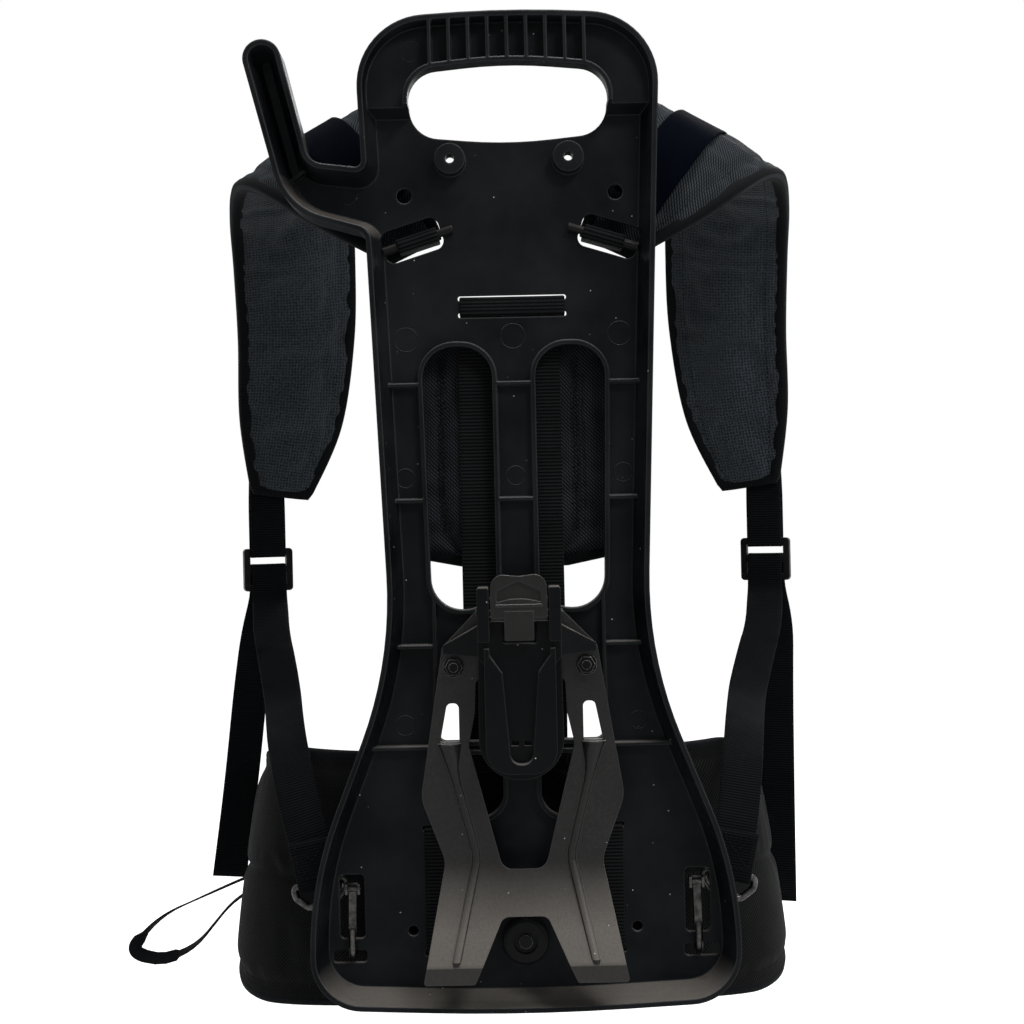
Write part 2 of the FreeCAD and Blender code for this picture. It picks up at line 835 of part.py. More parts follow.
def louvre(side):
    """Louvre under a window that narrows into the stiffening bead of the arm."""
    stations = [(47.0, -149.6, 16.6, 5.8), (46.4, -153.6, 13.5, 5.8), (44.8, -166.0, 7.0, 3.8),
                (43.0, -174.0, 5.6, 2.6), (31.2, -220.5, 5.6, 2.4), (31.0, -226.5, 5.6, 2.4),
                (44.4, -286.0, 5.6, 2.4), (44.9, -289.0, 4.0, 1.0)]
    wires = []
    for out, height, width, proud in stations:
        x, y = side * out, sheet_front(height)
        root = y + 1.2
        left = Vector(x - width / 2, root, height)
        right = Vector(x + width / 2, root, height)
        brow = Vector(x, y - proud, height)
        wires.append(Part.Wire([Part.Arc(left, brow, right).toShape(),
                                Part.LineSegment(right, left).toShape()]))
    return Part.makeLoft(wires, True, True)


def upright_cylinder(x, z, radius, near, far):
    """Cylinder along Y between two depths behind the back plane."""
    return Part.makeCylinder(radius, far - near, Vector(x, -near, z), Vector(0, -1, 0))


def cradle_screw_places():
    return [(side * 17.0, height) for side in (-1, 1) for height in (-78.0, -101.0)]


def make_support_bracket():
    deep, shallow = level(BRACKET_BACK) - 5.0, level(BRACKET_FRONT) + 60.0
    plan = prism(bracket_corners(), deep, shallow)
    cuts = [prism(bracket_gap_corners(), deep, shallow)]
    cuts += [prism(bracket_window_corners(side), deep, shallow) for side in (-1, 1)]
    hole = size("bolt_radius") + size("bolt_slack")
    for side in (-1, 1):
        cuts.append(upright_cylinder(side * size("bolt_out"), -size("bolt_drop"), hole,
                                     deep, shallow))
    for x, z in cradle_screw_places():
        cuts.append(upright_cylinder(x, z, size("screw_radius") + 0.2, deep, shallow))
    steel = bent_sheet().common(plan).fuse([louvre(-1), louvre(1)]).cut(cuts)
    feature("support_bracket", steel.removeSplitter())


# Machine cradle and its latch

def u_rail_corners():
    """U-shaped rail that the machine's foot slides into from above."""
    outer, inner = size("rail_half"), size("rail_half") - 3.2
    top = -size("cradle_top") - 16.5
    return mirrored([
        (size("channel_half"), -size("channel_bottom"), size("channel_half") - 0.1),
        (size("channel_top_half"), top - 15.5, 3.0),
        (inner, top - 4.0, 1.5),
        (inner, top, 0.0),
        (outer, top, 0.0),
        (outer, -size("rail_bottom"), 16.0),
    ])


def make_dock_cradle():
    body = new_body("dock_cradle")
    half = size("cradle_half")
    base = mirrored([(half, -size("cradle_top") + 3.0, 2.0),
                     (half + 1.0, -size("cradle_bottom"), half - 0.5)])
    pad(body, face_sketch(body, "base", BRACKET_FRONT, [base]), "cradle_base")

    neck = -size("cradle_top") - 23.0
    rail = size("rail_half")
    block = mirrored([(half, -size("cradle_top"), 1.0), (half, neck, 3.0),
                      (rail, neck - 4.0, 3.0), (rail, -size("rail_bottom"), 16.0)])
    pad(body, face_sketch(body, "block", CRADLE_BASE, [block]), "cradle_block")
    pad(body, face_sketch(body, "rails", CRADLE_BLOCK, [u_rail_corners()]), "cradle_rail")

    ear_height = size("cradle_top") - size("ear_top") + 12.0
    ear_middle = -size("ear_top") - ear_height / 2
    ears = [rectangle(side * (half - size("ear_width") / 2), ear_middle, size("ear_width"),
                      ear_height, 1.5) for side in (-1, 1)]
    pad(body, face_sketch(body, "ears", BRACKET_FRONT, [ears[0], ears[1]]),
        "cradle_base + cradle_block + cradle_rail + ear_proud")

    for side, name in ((-1, "wing_left"), (1, "wing_right")):
        wing(body, side, name)

    notch = rectangle(0.0, -size("cradle_top") - 4.0, 2 * size("tongue_half") + 3.2, 20.0, 1.5)
    pocket(body, face_sketch(body, "tongue_notch", CRADLE_BLOCK, [notch]), "cradle_block - webbing")
    marks = [rectangle(side * 4.2, -147.8, 5.0, 3.5, 0.5) for side in (-1, 1)]
    pocket(body, face_sketch(body, "drain_slots", CRADLE_BLOCK, marks), "ridge_height")

    axle = sketch_on(body, "YZ_Plane", "pin_bore", "webbing - webbing")
    axle.addGeometry(Part.Circle(Vector(-level(PIN_DEPTH), -size("pin_drop"), 0),
                                 Vector(0, 0, 1), size("pin_radius") + 0.02), False)
    pocket(body, axle)
    bores = face_sketch(body, "screw_bores", BRACKET_FRONT, [])
    for x, z in cradle_screw_places():
        bores.addGeometry(Part.Circle(Vector(x, z, 0), Vector(0, 0, 1),
                                      size("screw_radius") + 0.02), False)
    pocket(body, bores, "cradle_base + ridge_height", True)


def wing(body, side, name):
    """Gusset that runs from the cradle's flank down to the bracket's shoulder."""
    low, high = level(BRACKET_FRONT), level(CRADLE_BLOCK)
    root_x, tip_x = size("cradle_half") - 1.0, size("wing_half") - 1.5
    top = -size("cradle_top") - 1.5
    root = [(-low, top), (-high, top), (-high, top - 20.5), (-low, top - 20.5)]
    tip = [(-low, top - 13.5), (-low - 3.0, top - 13.5), (-low - 3.0, top - 19.0),
           (-low, top - 19.0)]
    faces = []
    for spot, x, corners in (("root", root_x, root), ("tip", tip_x, tip)):
        face = sketch_on(body, "YZ_Plane", name + "_" + spot, "webbing - webbing")
        face.setExpression("AttachmentOffset.Base.z", None)
        face.AttachmentOffset = Placement(Vector(0, 0, side * x), Rotation())
        face.addGeometry(rounded([(y, z, 0.0) for y, z in corners]), False)
        faces.append(face)
    step = body.newObject("PartDesign::AdditiveLoft", name)
    step.Profile = faces[0]
    step.Sections = [faces[1]]
    step.Ruled = True
    step.Refine = False
    doc.recompute()


def make_latch_lever():
    body = new_body("latch_lever")
    half, top = size("latch_half"), -size("latch_top")
    tab = [(-half, -size("pin_drop") - 3.5, 1.0), (-half + 0.4, top, 8.0), (0.0, top - 2.2, 30.0),
           (half - 0.4, top, 8.0), (half, -size("pin_drop") - 3.5, 1.0)]
    pad(body, face_sketch(body, "tab", LATCH_BACK, [tab]), "latch_sheet")
    tongue_top = -size("pin_drop") + 1.0
    tongue_middle = (tongue_top - size("tongue_bottom")) / 2
    tongue = rectangle(0.0, tongue_middle, 2 * size("tongue_half"),
                       tongue_top + size("tongue_bottom"), 0.8)
    pad(body, face_sketch(body, "tongue", LATCH_BACK, [tongue]), "latch_sheet + webbing / 4")
    recess = [(-14.2, top - 18.5, 0.8), (-14.2, top - 11.5, 2.5), (0.0, top - 4.8, 5.0),
              (14.2, top - 11.5, 2.5), (14.2, top - 18.5, 0.8), (0.0, top - 15.2, 40.0)]
    pocket(body, face_sketch(body, "thumb_recess", LATCH_FRONT, [recess]), "latch_sheet / 2")
    bar = rectangle(0.0, top - 20.7, 29.6, 1.6, 0.5)
    pad(body, face_sketch(body, "thumb_bar", LATCH_FRONT, [bar]), "floor_thickness / 3")

    inner = size("tongue_half")
    cheeks = [rectangle(side * (half - 0.2 + inner) / 2, -size("pin_drop"), half - 0.2 - inner,
                        2 * size("latch_barrel")) for side in (-1, 1)]
    pad(body, face_sketch(body, "cheeks", PIN_DEPTH, cheeks), "pin_depth - latch_sheet / 2")
    for side, name in ((-1, "barrel_left"), (1, "barrel_right")):
        barrel = sketch_on(body, "YZ_Plane", name, "webbing - webbing")
        barrel.setExpression("AttachmentOffset.Base.z", None)
        middle = side * (half - 0.2 + inner) / 2
        barrel.AttachmentOffset = Placement(Vector(0, 0, middle), Rotation())
        barrel.addGeometry(Part.Circle(Vector(-level(PIN_DEPTH), -size("pin_drop"), 0),
                                       Vector(0, 0, 1), size("latch_barrel")), False)
        pad(body, barrel, "latch_half - webbing / 9 - tongue_half", True)
    bore = sketch_on(body, "YZ_Plane", "lever_bore", "webbing - webbing")
    bore.addGeometry(Part.Circle(Vector(-level(PIN_DEPTH), -size("pin_drop"), 0),
                                 Vector(0, 0, 1), size("pin_radius") + size("pin_clearance")),
                     False)
    pocket(body, bore)


def rod(label, centre, direction, radius, length):
    """Round rod about its middle."""
    piece = doc.addObject("Part::Cylinder", label)
    piece.setExpression("Radius", bind(radius))
    piece.setExpression("Height", bind(length))
    turn = Rotation(Vector(0, 0, 1), direction)
    doc.recompute()
    half = turn.multVec(Vector(0, 0, piece.Height.Value / 2))
    piece.Placement = Placement(centre - half, turn)
    return keep(label, piece)


def make_latch_pin():
    centre = Vector(0, -level(PIN_DEPTH), -size("pin_drop"))
    rod("latch_pin", centre, Vector(1, 0, 0), "pin_radius", "cradle_half * 2 + webbing")


def make_latch_spring():
    """Torsion spring round the pin, with one leg on the lever and one on the cradle."""
    wire, radius = size("spring_wire"), size("spring_radius")
    pitch = wire * 1.35
    helix = Part.makeHelix(pitch, pitch * SPRING_TURNS, radius)
    start = helix.Vertexes[0].Point
    ring = Part.Wire(Part.makeCircle(wire / 2, start, Vector(0, 1, 0)))
    coil = Part.Wire(helix).makePipeShell([ring], True, True)
    coil.Placement = Placement(Vector(-pitch * SPRING_TURNS / 2, -level(PIN_DEPTH),
                                      -size("pin_drop")),
                               Rotation(Vector(0, 0, 1), Vector(1, 0, 0)))
    print("spring gap between turns", round(pitch - wire, 2))
    feature("latch_spring", coil)


# Fasteners

def stack(label, groups):
    """One sub-part of like fasteners, each group fused from its own pieces."""
    fused = []
    for pieces in groups:
        whole = pieces[0]
        for piece in pieces[1:]:
            whole = whole.fuse(piece)
        fused.append(whole.removeSplitter())
    feature(label, Part.makeCompound(fused))


def hexagon(x, z, across, near, far):
    corner = across / 2 / math.cos(math.radians(30))
    corners = [(x + corner * math.cos(math.radians(60 * i)),
                z + corner * math.sin(math.radians(60 * i)), 0.0) for i in range(6)]
    return prism(corners, near, far)


def bolt_places():
    return [(side * size("bolt_out"), -size("bolt_drop")) for side in (-1, 1)]


def make_fasteners():
    plate_back, front = level(PLATE_BACK), level(BRACKET_FRONT)
    end = front + size("nut_height") + 1.5
    bolts, nuts = [], []
    for x, z in bolt_places():
        head = hexagon(x, z, size("nut_across"), plate_back - size("webbing_gap") + 0.4, plate_back)
        bolts.append([head, upright_cylinder(x, z, size("bolt_radius"), plate_back - 0.5, end)])
        flange = upright_cylinder(x, z, size("nut_flange"), front, front + 1.2)
        crown = hexagon(x, z, size("nut_across"), front, front + size("nut_height"))
        bore = upright_cylinder(x, z, size("bolt_radius") + 0.02, front - 1.0, end)
        nuts.append([flange.fuse(crown).cut(bore)])
    stack("bracket_bolts", bolts)
    stack("bracket_nuts", nuts)

    screws = []
    back = level(BRACKET_BACK)
    for x, z in cradle_screw_places():
        head = upright_cylinder(x, z, 1.8 * size("screw_radius"), back - 3.0, back)
        shank = upright_cylinder(x, z, size("screw_radius"), back - 0.5, front + 11.0)
        screws.append([head, shank])
    stack("cradle_screws", screws)


def make_buffer():
    """Rubber buffer that the machine rests on, turned about the Y axis, and its screw."""
    floor, x = level(FLOOR), 0.0
    z = -size("buffer_drop")
    radius, height = size("buffer_radius"), size("buffer_height")
    block = upright_cylinder(x, z, radius, floor, floor + height)
    rim = [edge for edge in block.Edges if abs(edge.BoundBox.YMin + floor + height) < 0.01
           and abs(edge.BoundBox.YMax + floor + height) < 0.01]
    block = block.makeFillet(3.0, rim)
    well = upright_cylinder(x, z, size("buffer_well"), floor + height - 2.5, floor + height + 1.0)
    bore = upright_cylinder(x, z, size("screw_radius") + 0.02, floor - 1.0, floor + height)
    feature("rubber_buffer", block.cut([well, bore]))
    seat = floor + height - 2.5
    head = upright_cylinder(x, z, 1.8 * size("screw_radius"), seat, seat + 1.8)
    shank = upright_cylinder(x, z, size("screw_radius"), level(PLATE_BACK) + 0.2, seat + 0.5)
    stack("buffer_screw", [[head, shank]])


# Webbing

def strap_shape(stations, width, thickness):
    """Flat strap through stations (place, across), mitred where it turns."""
    wires = []
    last = len(stations) - 1
    for i, (here, across) in enumerate(stations):
        into = (here - stations[i - 1][0]) if i else (stations[1][0] - here)
        out = (stations[i + 1][0] - here) if i < last else into
        into = Vector(into).normalize()
        out = Vector(out).normalize()
        along = (into + out).normalize()
        side = (across - along * across.dot(along)).normalize()
        mitre = 1.0 / math.cos(into.getAngle(out) / 2)
        up = along.cross(side) * (thickness / 2 * mitre)
        side = side * (width / 2)
        corners = [here - side - up, here + side - up, here + side + up, here - side + up]
        wires.append(Part.makePolygon(corners + corners[:1]))
    return Part.makeLoft(wires, True, True)


def sides(label):
    """Each side's sign with the name of that side's sub-part."""
    return ((-1, label + "_left"), (1, label + "_right"))


def both_hands(label, right):
    """The same piece on the right and, mirrored, on the left."""
    for side, name in sides(label):
        feature(name, right if side > 0 else right.mirror(Vector(0, 0, 0), Vector(1, 0, 0)))


def flip(place, side):
    return Vector(side * place[0], place[1], place[2])


def strap_slot_middle(side):
    """Where a loop passes its slot; the strap's pull draws it below the slot's middle."""
    return Vector(side * size("strap_slot_out"), 0, size("strap_slot_rise") - size("rod_sink"))


def rod_depth():
    return level(FLOOR) + size("rod_radius") + 0.25


def make_strap_rods():
    for side, label in sides("strap_rod"):
        tilt = Rotation(Vector(0, 1, 0), side * size("strap_slot_tilt"))
        along = tilt.multVec(Vector(1, 0, 0))
        centre = strap_slot_middle(side) + Vector(0, -rod_depth(), 0)
        rod(label, centre - along * side * size("rod_shift"), along, "rod_radius", "rod_length")


def make_upper_loops():
    """Webbing loops round the rods, through the plate's slots to the pad roots."""
    sweep = size("rod_radius") + size("rod_clearance") + size("webbing") / 2
    reach = rod_depth() - size("root_depth") + 0.2
    path = [(reach, sweep, 0.0), (-sweep, sweep, sweep), (-sweep, -sweep, sweep),
            (reach, -sweep, 0.0)]
    outline = strip_corners(path, size("webbing"))
    for side, label in sides("upper_loop"):
        turn = side * size("strap_slot_tilt")
        inwards = Rotation(Vector(0, 1, 0), turn).multVec(Vector(-side, 0, 0))
        centre = strap_slot_middle(side) + Vector(0, -rod_depth(), 0)
        feature(label, side_slab(outline, size("loop_width"),
                                 centre + inwards * size("loop_shift"), turn))


def make_centre_band():
    """Wide band round the moulded bar at the top of the pad."""
    front = -(level(FLOOR) + 0.3 + size("webbing") / 2)
    reach = (size("band_bar") + size("band_gap")) / 2
    high, low = size("band_rise") + reach, size("band_rise") - reach
    behind = -level(PLATE_BACK) + 3.5
    pad_top = size("back_pad_top")
    path = [(-16.0, pad_top + 6.5, 0.0), (behind - 0.5, high, 3.5), (front, high, 2.5),
            (front, low, 2.5), (behind, low, 3.0), (-15.0, pad_top + 2.2, 0.0)]
    feature("centre_band", side_slab(strip_corners(path, size("webbing")), size("band_width")))


def make_height_webbing():
    """Two long straps between the plate and the pad that set the belt's height."""
    y = -level(PLATE_BACK) + size("webbing_gap") - 1.7
    belt_y = -size("belt_thickness") - 4.5
    path = [(y, size("back_pad_top") - 4.0, 0.0), (y, -size("belt_top") + 26.0, 30.0),
            (belt_y, -size("belt_top") - 10.0, 0.0)]
    outline = strip_corners(path, size("webbing"))
    for label, x in (("height_webbing_left", -24.5), ("height_webbing_right", 18.5)):
        feature(label, side_slab(outline, size("tail_width"), Vector(x, 0, 0)))


def make_belt_anchors():
    """Webbing through the four narrow slots that ties the belt to the plate."""
    front = -(level(FLOOR) + 0.4 + size("webbing") / 2)
    high, low = -size("anchor_top"), -size("anchor_bottom")
    for side, label in sides("belt_anchor_webbing"):
        x = side * size("anchor_out")
        back_high, back_low = belt_surface(x, high) - 2.0, belt_surface(x, low) - 2.0
        path = [(back_high, high, 0.0), (front, high, 3.0), (front, low, 3.0),
                (back_low, low, 0.0)]
        outline = strip_corners(path, size("webbing"))
        feature(label, side_slab(outline, size("strap_width"), Vector(x, 0, 0)))


# Cushions

def crowned(first, last, outward, edge, crown):
    """Section of a cushion between two places: full faces and drawn-in sides."""
    middle = (first + last) * 0.5
    along = (last - first).normalize()
    half = outward * (edge / 2)
    swell = outward * (edge / 2 + crown)
    bulge = along * (edge * 0.35)
    return Part.Wire([
        Part.Arc(first + half, middle + swell, last + half).toShape(),
        Part.Arc(last + half, last + bulge, last - half).toShape(),
        Part.Arc(last - half, middle - swell, first - half).toShape(),
        Part.Arc(first - half, first - bulge, first + half).toShape(),
    ])


def cushion_along(stations, edge, crown):
    """Cushion through stations (place, across, width, fullness)."""
    wires = []
    last = len(stations) - 1
    for i, (here, across, width, fullness) in enumerate(stations):
        along = stations[min(i + 1, last)][0] - stations[max(i - 1, 0)][0]
        along = along.normalize()
        side = (across - along * across.dot(along)).normalize()
        outward = side.cross(along)
        reach = side * (width / 2)
        wires.append(crowned(here - reach, here + reach, outward, edge * fullness,
                             crown * fullness))
    return Part.makeLoft(wires, True, False)


def make_back_pad():
    half = size("back_pad_half")
    top, bottom = size("back_pad_top"), -size("back_pad_bottom")
    edge, crown = size("back_pad_edge"), size("back_pad_crown")
    rows = [(bottom, 0.43, 0.45), (bottom + 5.0, 0.74, 0.7), (bottom + 16.0, 0.93, 0.9),
            (bottom + 42.0, 1.0, 1.0), (top - 60.0, 1.0, 1.0), (top - 18.0, 0.98, 0.95),
            (top - 5.0, 0.87, 0.7), (top, 0.61, 0.45)]
    y = -size("pad_depth") / 2
    wires = []
    for height, share, fullness in rows:
        wires.append(crowned(Vector(-share * half, y, height), Vector(share * half, y, height),
                             Vector(0, 1, 0), edge * fullness, crown * fullness))
    feature("back_pad", Part.makeLoft(wires, True, False))


def shoulder_line():
    """Middle line of the right shoulder pad: place, turn of its width, width and fullness."""
    root = strap_slot_middle(1) - Vector(0, size("root_depth"), 0)
    across = [(17, 0), (17, 0), (21, 0), (26, 0), (30, 0), (30, 0), (29, 0), (24, -8), (16, -16),
              (9, -22), (4, -22), (0, -22)]
    worn = [(85, -13.5, 205), (104, -7, 228), (126, 12, 248), (146, 44, 258), (159, 88, 255),
            (165, 128, 232), (167, 158, 196), (170, 184, 140), (178, 200, 75), (188, 206, 20)]
    places = [root, root + Vector(4.0, 6.0, 6.0)] + [drawn(place) for place in worn]
    widths = [0.42, 0.45, 0.66, 0.9, 1.0, 1.0, 1.0, 1.0, 1.0, 0.98, 0.86, 0.5]
    fullness = [0.78, 0.8, 0.85, 0.9, 1.0, 1.0, 1.0, 1.0, 1.0, 1.0, 0.9, 0.75]
    stations = []
    for place, (roll, yaw), share, full in zip(places, across, widths, fullness):
        roll, yaw = math.radians(roll), math.radians(yaw)
        side = Vector(math.cos(roll) * math.cos(yaw), math.sin(yaw), -math.sin(roll))
        stations.append((place, side, share * size("shoulder_width"), full))
    return stations


def make_shoulder_pads():
    right = cushion_along(shoulder_line(), size("shoulder_edge"), size("shoulder_crown"))
    both_hands("shoulder_pad", right)


def belt_place(turn, drop, lower):
    """Middle of the belt at an angle from the back; lower runs from 0 at the top to 1."""
    power = 2.0 / size("belt_squareness")
    half = size("belt_top_half") + lower * (size("belt_bottom_half") - size("belt_top_half"))
    depth = size("belt_depth") + lower * 7.0
    sine, cosine = math.sin(turn), math.cos(turn)
    x = math.copysign(abs(sine) ** power, sine) * half - size("belt_shift")
    y = size("belt_depth") - 3.0 - math.copysign(abs(cosine) ** power, cosine) * depth
    return Vector(x, y, -drop)


def belt_surface(x, height):
    """Y of the belt's outer face, on the side of the plate, at a place."""
    lower = (-height - size("belt_top")) / (size("belt_bottom") - size("belt_top"))
    best = min((abs(belt_place(math.radians(i / 4), -height, lower).x - x), i)
               for i in range(-200, 201))
    place = belt_place(math.radians(best[1] / 4), -height, lower)
    bow = 1.0 - (2.0 * lower - 1.0) ** 2
    return place.y - size("belt_thickness") / 2 - size("belt_crown") * bow


def belt_section(degrees):
    """Section of the belt at an angle from the back; it tapers towards the buckle."""
    share = abs(degrees) / 150.0
    turn = math.radians(degrees)
    taper = max(0.0, share - 0.35) / 0.65
    top_drop = size("belt_top") + 50.0 * taper ** 1.3
    low_drop = size("belt_bottom") + 15.0 * math.sin(turn) ** 2 - 70.0 * taper ** 1.6
    top, bottom = belt_place(turn, top_drop, 0.0), belt_place(turn, low_drop, 1.0)
    ahead = belt_place(turn + 0.01, top_drop, 0.0) + belt_place(turn + 0.01, low_drop, 1.0)
    before = belt_place(turn - 0.01, top_drop, 0.0) + belt_place(turn - 0.01, low_drop, 1.0)
    along = (ahead - before).normalize()
    outward = along.cross(Vector(0, 0, 1)).normalize()
    edge = size("belt_thickness") * (1.0 - 0.35 * taper)
    return crowned(top, bottom, outward, edge, size("belt_crown") * (1.0 - 0.4 * taper))


def make_hip_belt():
    angles = [-150, -132, -112, -92, -72, -54, -38, -20, 0, 20, 38, 54, 72, 92, 112, 132, 150]
    feature("hip_belt", Part.makeLoft([belt_section(angle) for angle in angles], True, False))


def load_lifter_line():
    """Strap from the pad's root up over the right shoulder pad."""
    worn = [((84, -25, 206), -0.35), ((98, -22, 226), -0.4), ((113, -12, 246), -0.5),
            ((126, 8, 263), -0.55), ((136, 32, 272), -0.55), ((143, 60, 276), -0.55),
            ((148, 86, 275), -0.55)]
    return [(drawn(place), Vector(1, 0, fall)) for place, fall in worn]


def make_load_lifters():
    for side, label in sides("load_lifter"):
        stations = [(flip(place, side), flip(across, side)) for place, across in load_lifter_line()]
        feature(label, strap_shape(stations, size("lifter_width"), size("webbing")))


# Ladder locks on the chest and the straps that they adjust

def lock_frame(side):
    """Middle of a ladder lock with its outward and its sideways direction."""
    middle = Vector(side * size("lock_out"), size("lock_ahead"), -size("lock_drop"))
    turn = math.radians(22.0)
    ahead = Vector(side * math.sin(turn), math.cos(turn), 0)
    across = Vector(side * math.cos(turn), -math.sin(turn), 0)
    return middle, ahead, across


def lock_point(side, proud, up):
    middle, ahead, across = lock_frame(side)
    return middle + ahead * proud + Vector(0, 0, up)


def make_ladder_locks():
    """Plastic frames with three bars; the loop holds the top bar, the strap the middle one."""
    bar, long_side = size("lock_bar"), size("lock_length")
    inside = size("strap_width") + 1.6
    opening = (long_side - 3 * bar) / 2
    for side, label in sides("ladder_lock"):
        frame = outline_face(rectangle(0, 0, inside + 2 * bar, long_side, 3.0))
        for up in (-1, 1):
            place = up * (bar + opening) / 2
            frame = frame.cut(outline_face(rectangle(0, place, inside, opening, 1.0)))
        block = frame.extrude(Vector(0, 0, bar))
        middle, ahead, across = lock_frame(side)
        turn = Rotation(across, Vector(0, 0, 1), Vector(0, 0, 0), "XYZ")
        normal = turn.multVec(Vector(0, 0, 1))
        block.Placement = Placement(middle - normal * (bar / 2), turn)
        feature(label, block)


def wrap_radius():
    return size("lock_bar") / 2 + 0.35 + size("webbing") / 2


def lock_wrap(side, height, rise, start, end):
    """Stations of webbing over a bar of the lock; rise is 1 over the bar and -1 under it."""
    reach = wrap_radius()
    chamfer = reach * 0.75
    middle, ahead, across = lock_frame(side)
    spots = [(-reach, start), (-reach, height + rise * chamfer), (-chamfer, height + rise * reach),
             (chamfer, height + rise * reach), (reach, height + rise * chamfer), (reach, end)]
    return [(lock_point(side, proud, up), across) for proud, up in spots]


def make_lock_loops():
    """Short loops that hang the ladder locks from the shoulder pads."""
    top_bar = (size("lock_length") - size("lock_bar")) / 2
    for side, label in sides("lock_loop"):
        tip = size("lock_drop") + shoulder_line()[-1][0].z - 3.0
        stations = lock_wrap(side, top_bar, -1, tip, tip)
        feature(label, strap_shape(stations, size("strap_width"), size("webbing")))


# Places of the lower run with the turn of its width and its share of the belt's push
OVER_THE_HIP = [
    ((148, -5, -198), (0.98, 0.02, -0.15), 0.4),
    ((152, 8, -176), (0.97, -0.02, -0.18), 0.6),
    ((157, 34, -157), (0.93, -0.06, -0.25), 0.8),
    ((162, 62, -145), (0.9, -0.1, -0.3), 0.8),
    ((168, 94, -134), (0.9, -0.14, -0.3), 0.7),
    ((179, 128, -112), (0.9, -0.2, -0.25), 0.4),
    ((191, 162, -90), (0.92, -0.3, -0.12), 0.1),
]


def eye_point(across, ahead, up):
    """Place about the bar of the right hook's eye, which leans out with the strap's pull."""
    lean = Rotation(Vector(0, 1, 0), size("eye_lean"))
    bar = Vector(size("eye_out"), -size("eye_depth"), -eye_drop())
    return bar + lean.multVec(Vector(across, ahead, up))


def adjuster_run(side):
    """Lower run of the adjuster strap, from the hook's eye up to the lock."""
    wrap = size("hook_wire") + 0.35 + size("webbing") / 2
    bend = wrap * 0.55
    spots = [(-wrap, 30.0), (-wrap, -bend), (-bend, -wrap), (bend, -wrap), (wrap, -bend),
             (wrap, 22.0)]
    level_bar = eye_point(1.0, 0.0, 0.0) - eye_point(0.0, 0.0, 0.0)
    run = [(eye_point(0.0, ahead, up), level_bar) for ahead, up in spots]
    push = Vector(size("belt_shift") if side < 0 else 0.0, 0, 0)
    run += [(drawn(place) + push * share, across) for place, across, share in OVER_THE_HIP]
    return [(flip(place, side), flip(across, side)) for place, across in run]


TAIL_RUNS = {
    1: [(209, 217, -95), (208, 219, -150), (207, 217, -225), (206, 213, -318)],
    -1: [(211, 217, -95), (218, 219, -140), (227, 219, -215), (238, 218, -290)],
}


def make_adjuster_straps():
    """Each strap runs from its hook round the lock's middle bar, and its tail hangs free."""
    for side, label in sides("adjuster_strap"):
        middle, ahead, across = lock_frame(side)
        stations = adjuster_run(side)
        stations.append((lock_point(side, -wrap_radius() - 1.0, -24.0), across))
        stations += lock_wrap(side, 0.0, 1, -12.0, -20.0)
        stations += [(flip(drawn(place), side), across) for place in TAIL_RUNS[side]]
        feature(label, strap_shape(stations, size("strap_width"), size("webbing")))


# Snap hooks that carry the adjuster straps on the plate's lower corners

def wire_along(points, closed=False):
    """Bent round wire through points (place, bend radius)."""
    radius = size("hook_wire")
    path = Part.Wire([curve.toShape() for curve in bent_path(points, closed)])
    edge = path.Edges[0]
    start = edge.valueAt(edge.FirstParameter)
    along = edge.tangentAt(edge.FirstParameter)
    ring = Part.Wire(Part.makeCircle(radius, start, along))
    return path.makePipeShell([ring], True, False)


def hook_lines():
    """Eye and hook of the right snap hook as two wires."""
    half = size("strap_width") / 2 + 0.8 + size("hook_wire")
    neck, low = -7.0, -15.0
    corners = [(0.0, 0.0, 0.0), (half, 0.0, 3.0), (half, neck, 5.0), (half - 7.0, low, 4.0),
               (9.0 - half, low, 4.0), (-half, neck, 5.0), (-half, 0.0, 3.0)]
    eye = [(eye_point(across, 0.0, up), radius) for across, up, radius in corners]
    x, shank = size("corner_slot_out"), -size("shank_depth")
    front = -level(FLOOR) - size("hook_wire") - 3.1
    slot_top, bar_top = -size("corner_slot_top"), -size("corner_bar_top")
    under = bar_top - size("corner_bar_height") - size("corner_slot_low") / 2
    hook = [(eye_point(-half, 0.0, neck), 0.0), (Vector(x, shank, slot_top - 10.0), 6.0),
            (Vector(x, shank, under), 5.0), (Vector(x, front, under), 5.0),
            (Vector(x, front, bar_top + 7.5), 0.0)]
    return eye, hook


def gate_pivot():
    """Pivot of the right hook's gate, in front of the shank."""
    y = -size("shank_depth") - size("hook_wire") - size("gate_barrel") - 0.4
    return Vector(size("corner_slot_out"), y, -size("corner_slot_top") - 10.5)


def cross_rod(middle, radius, length):
    start = middle - Vector(length / 2, 0, 0)
    return Part.makeCylinder(radius, length, start, Vector(1, 0, 0))


def make_strap_hooks():
    """Bent wire hooks, each with an eye for the strap and two lugs for its gate."""
    eye, hook = hook_lines()
    ring = wire_along(eye, True)
    pivot = gate_pivot()
    lugs = []
    reach = size("gate_width") / 2 + 0.3
    for x in (pivot.x - reach - 1.8, pivot.x + reach):
        corner = Vector(x, pivot.y - size("gate_barrel"), pivot.z - 3.5)
        depth = -size("shank_depth") - corner.y + 1.0
        lugs.append(Part.makeBox(1.8, depth, 7.0, corner))
    core = Part.makeBox(2 * reach + 3.6, size("hook_wire"), 7.0,
                        Vector(pivot.x - reach - 1.8, -size("shank_depth") - 1.4, pivot.z - 3.5))
    bore = cross_rod(pivot, size("gate_pin") + 0.02, 4 * reach)
    both_hands("strap_hook", ring.fuse([wire_along(hook), core] + lugs).cut(bore))
    both_hands("gate_pin", cross_rod(pivot, size("gate_pin"), 2 * reach + 3.8))


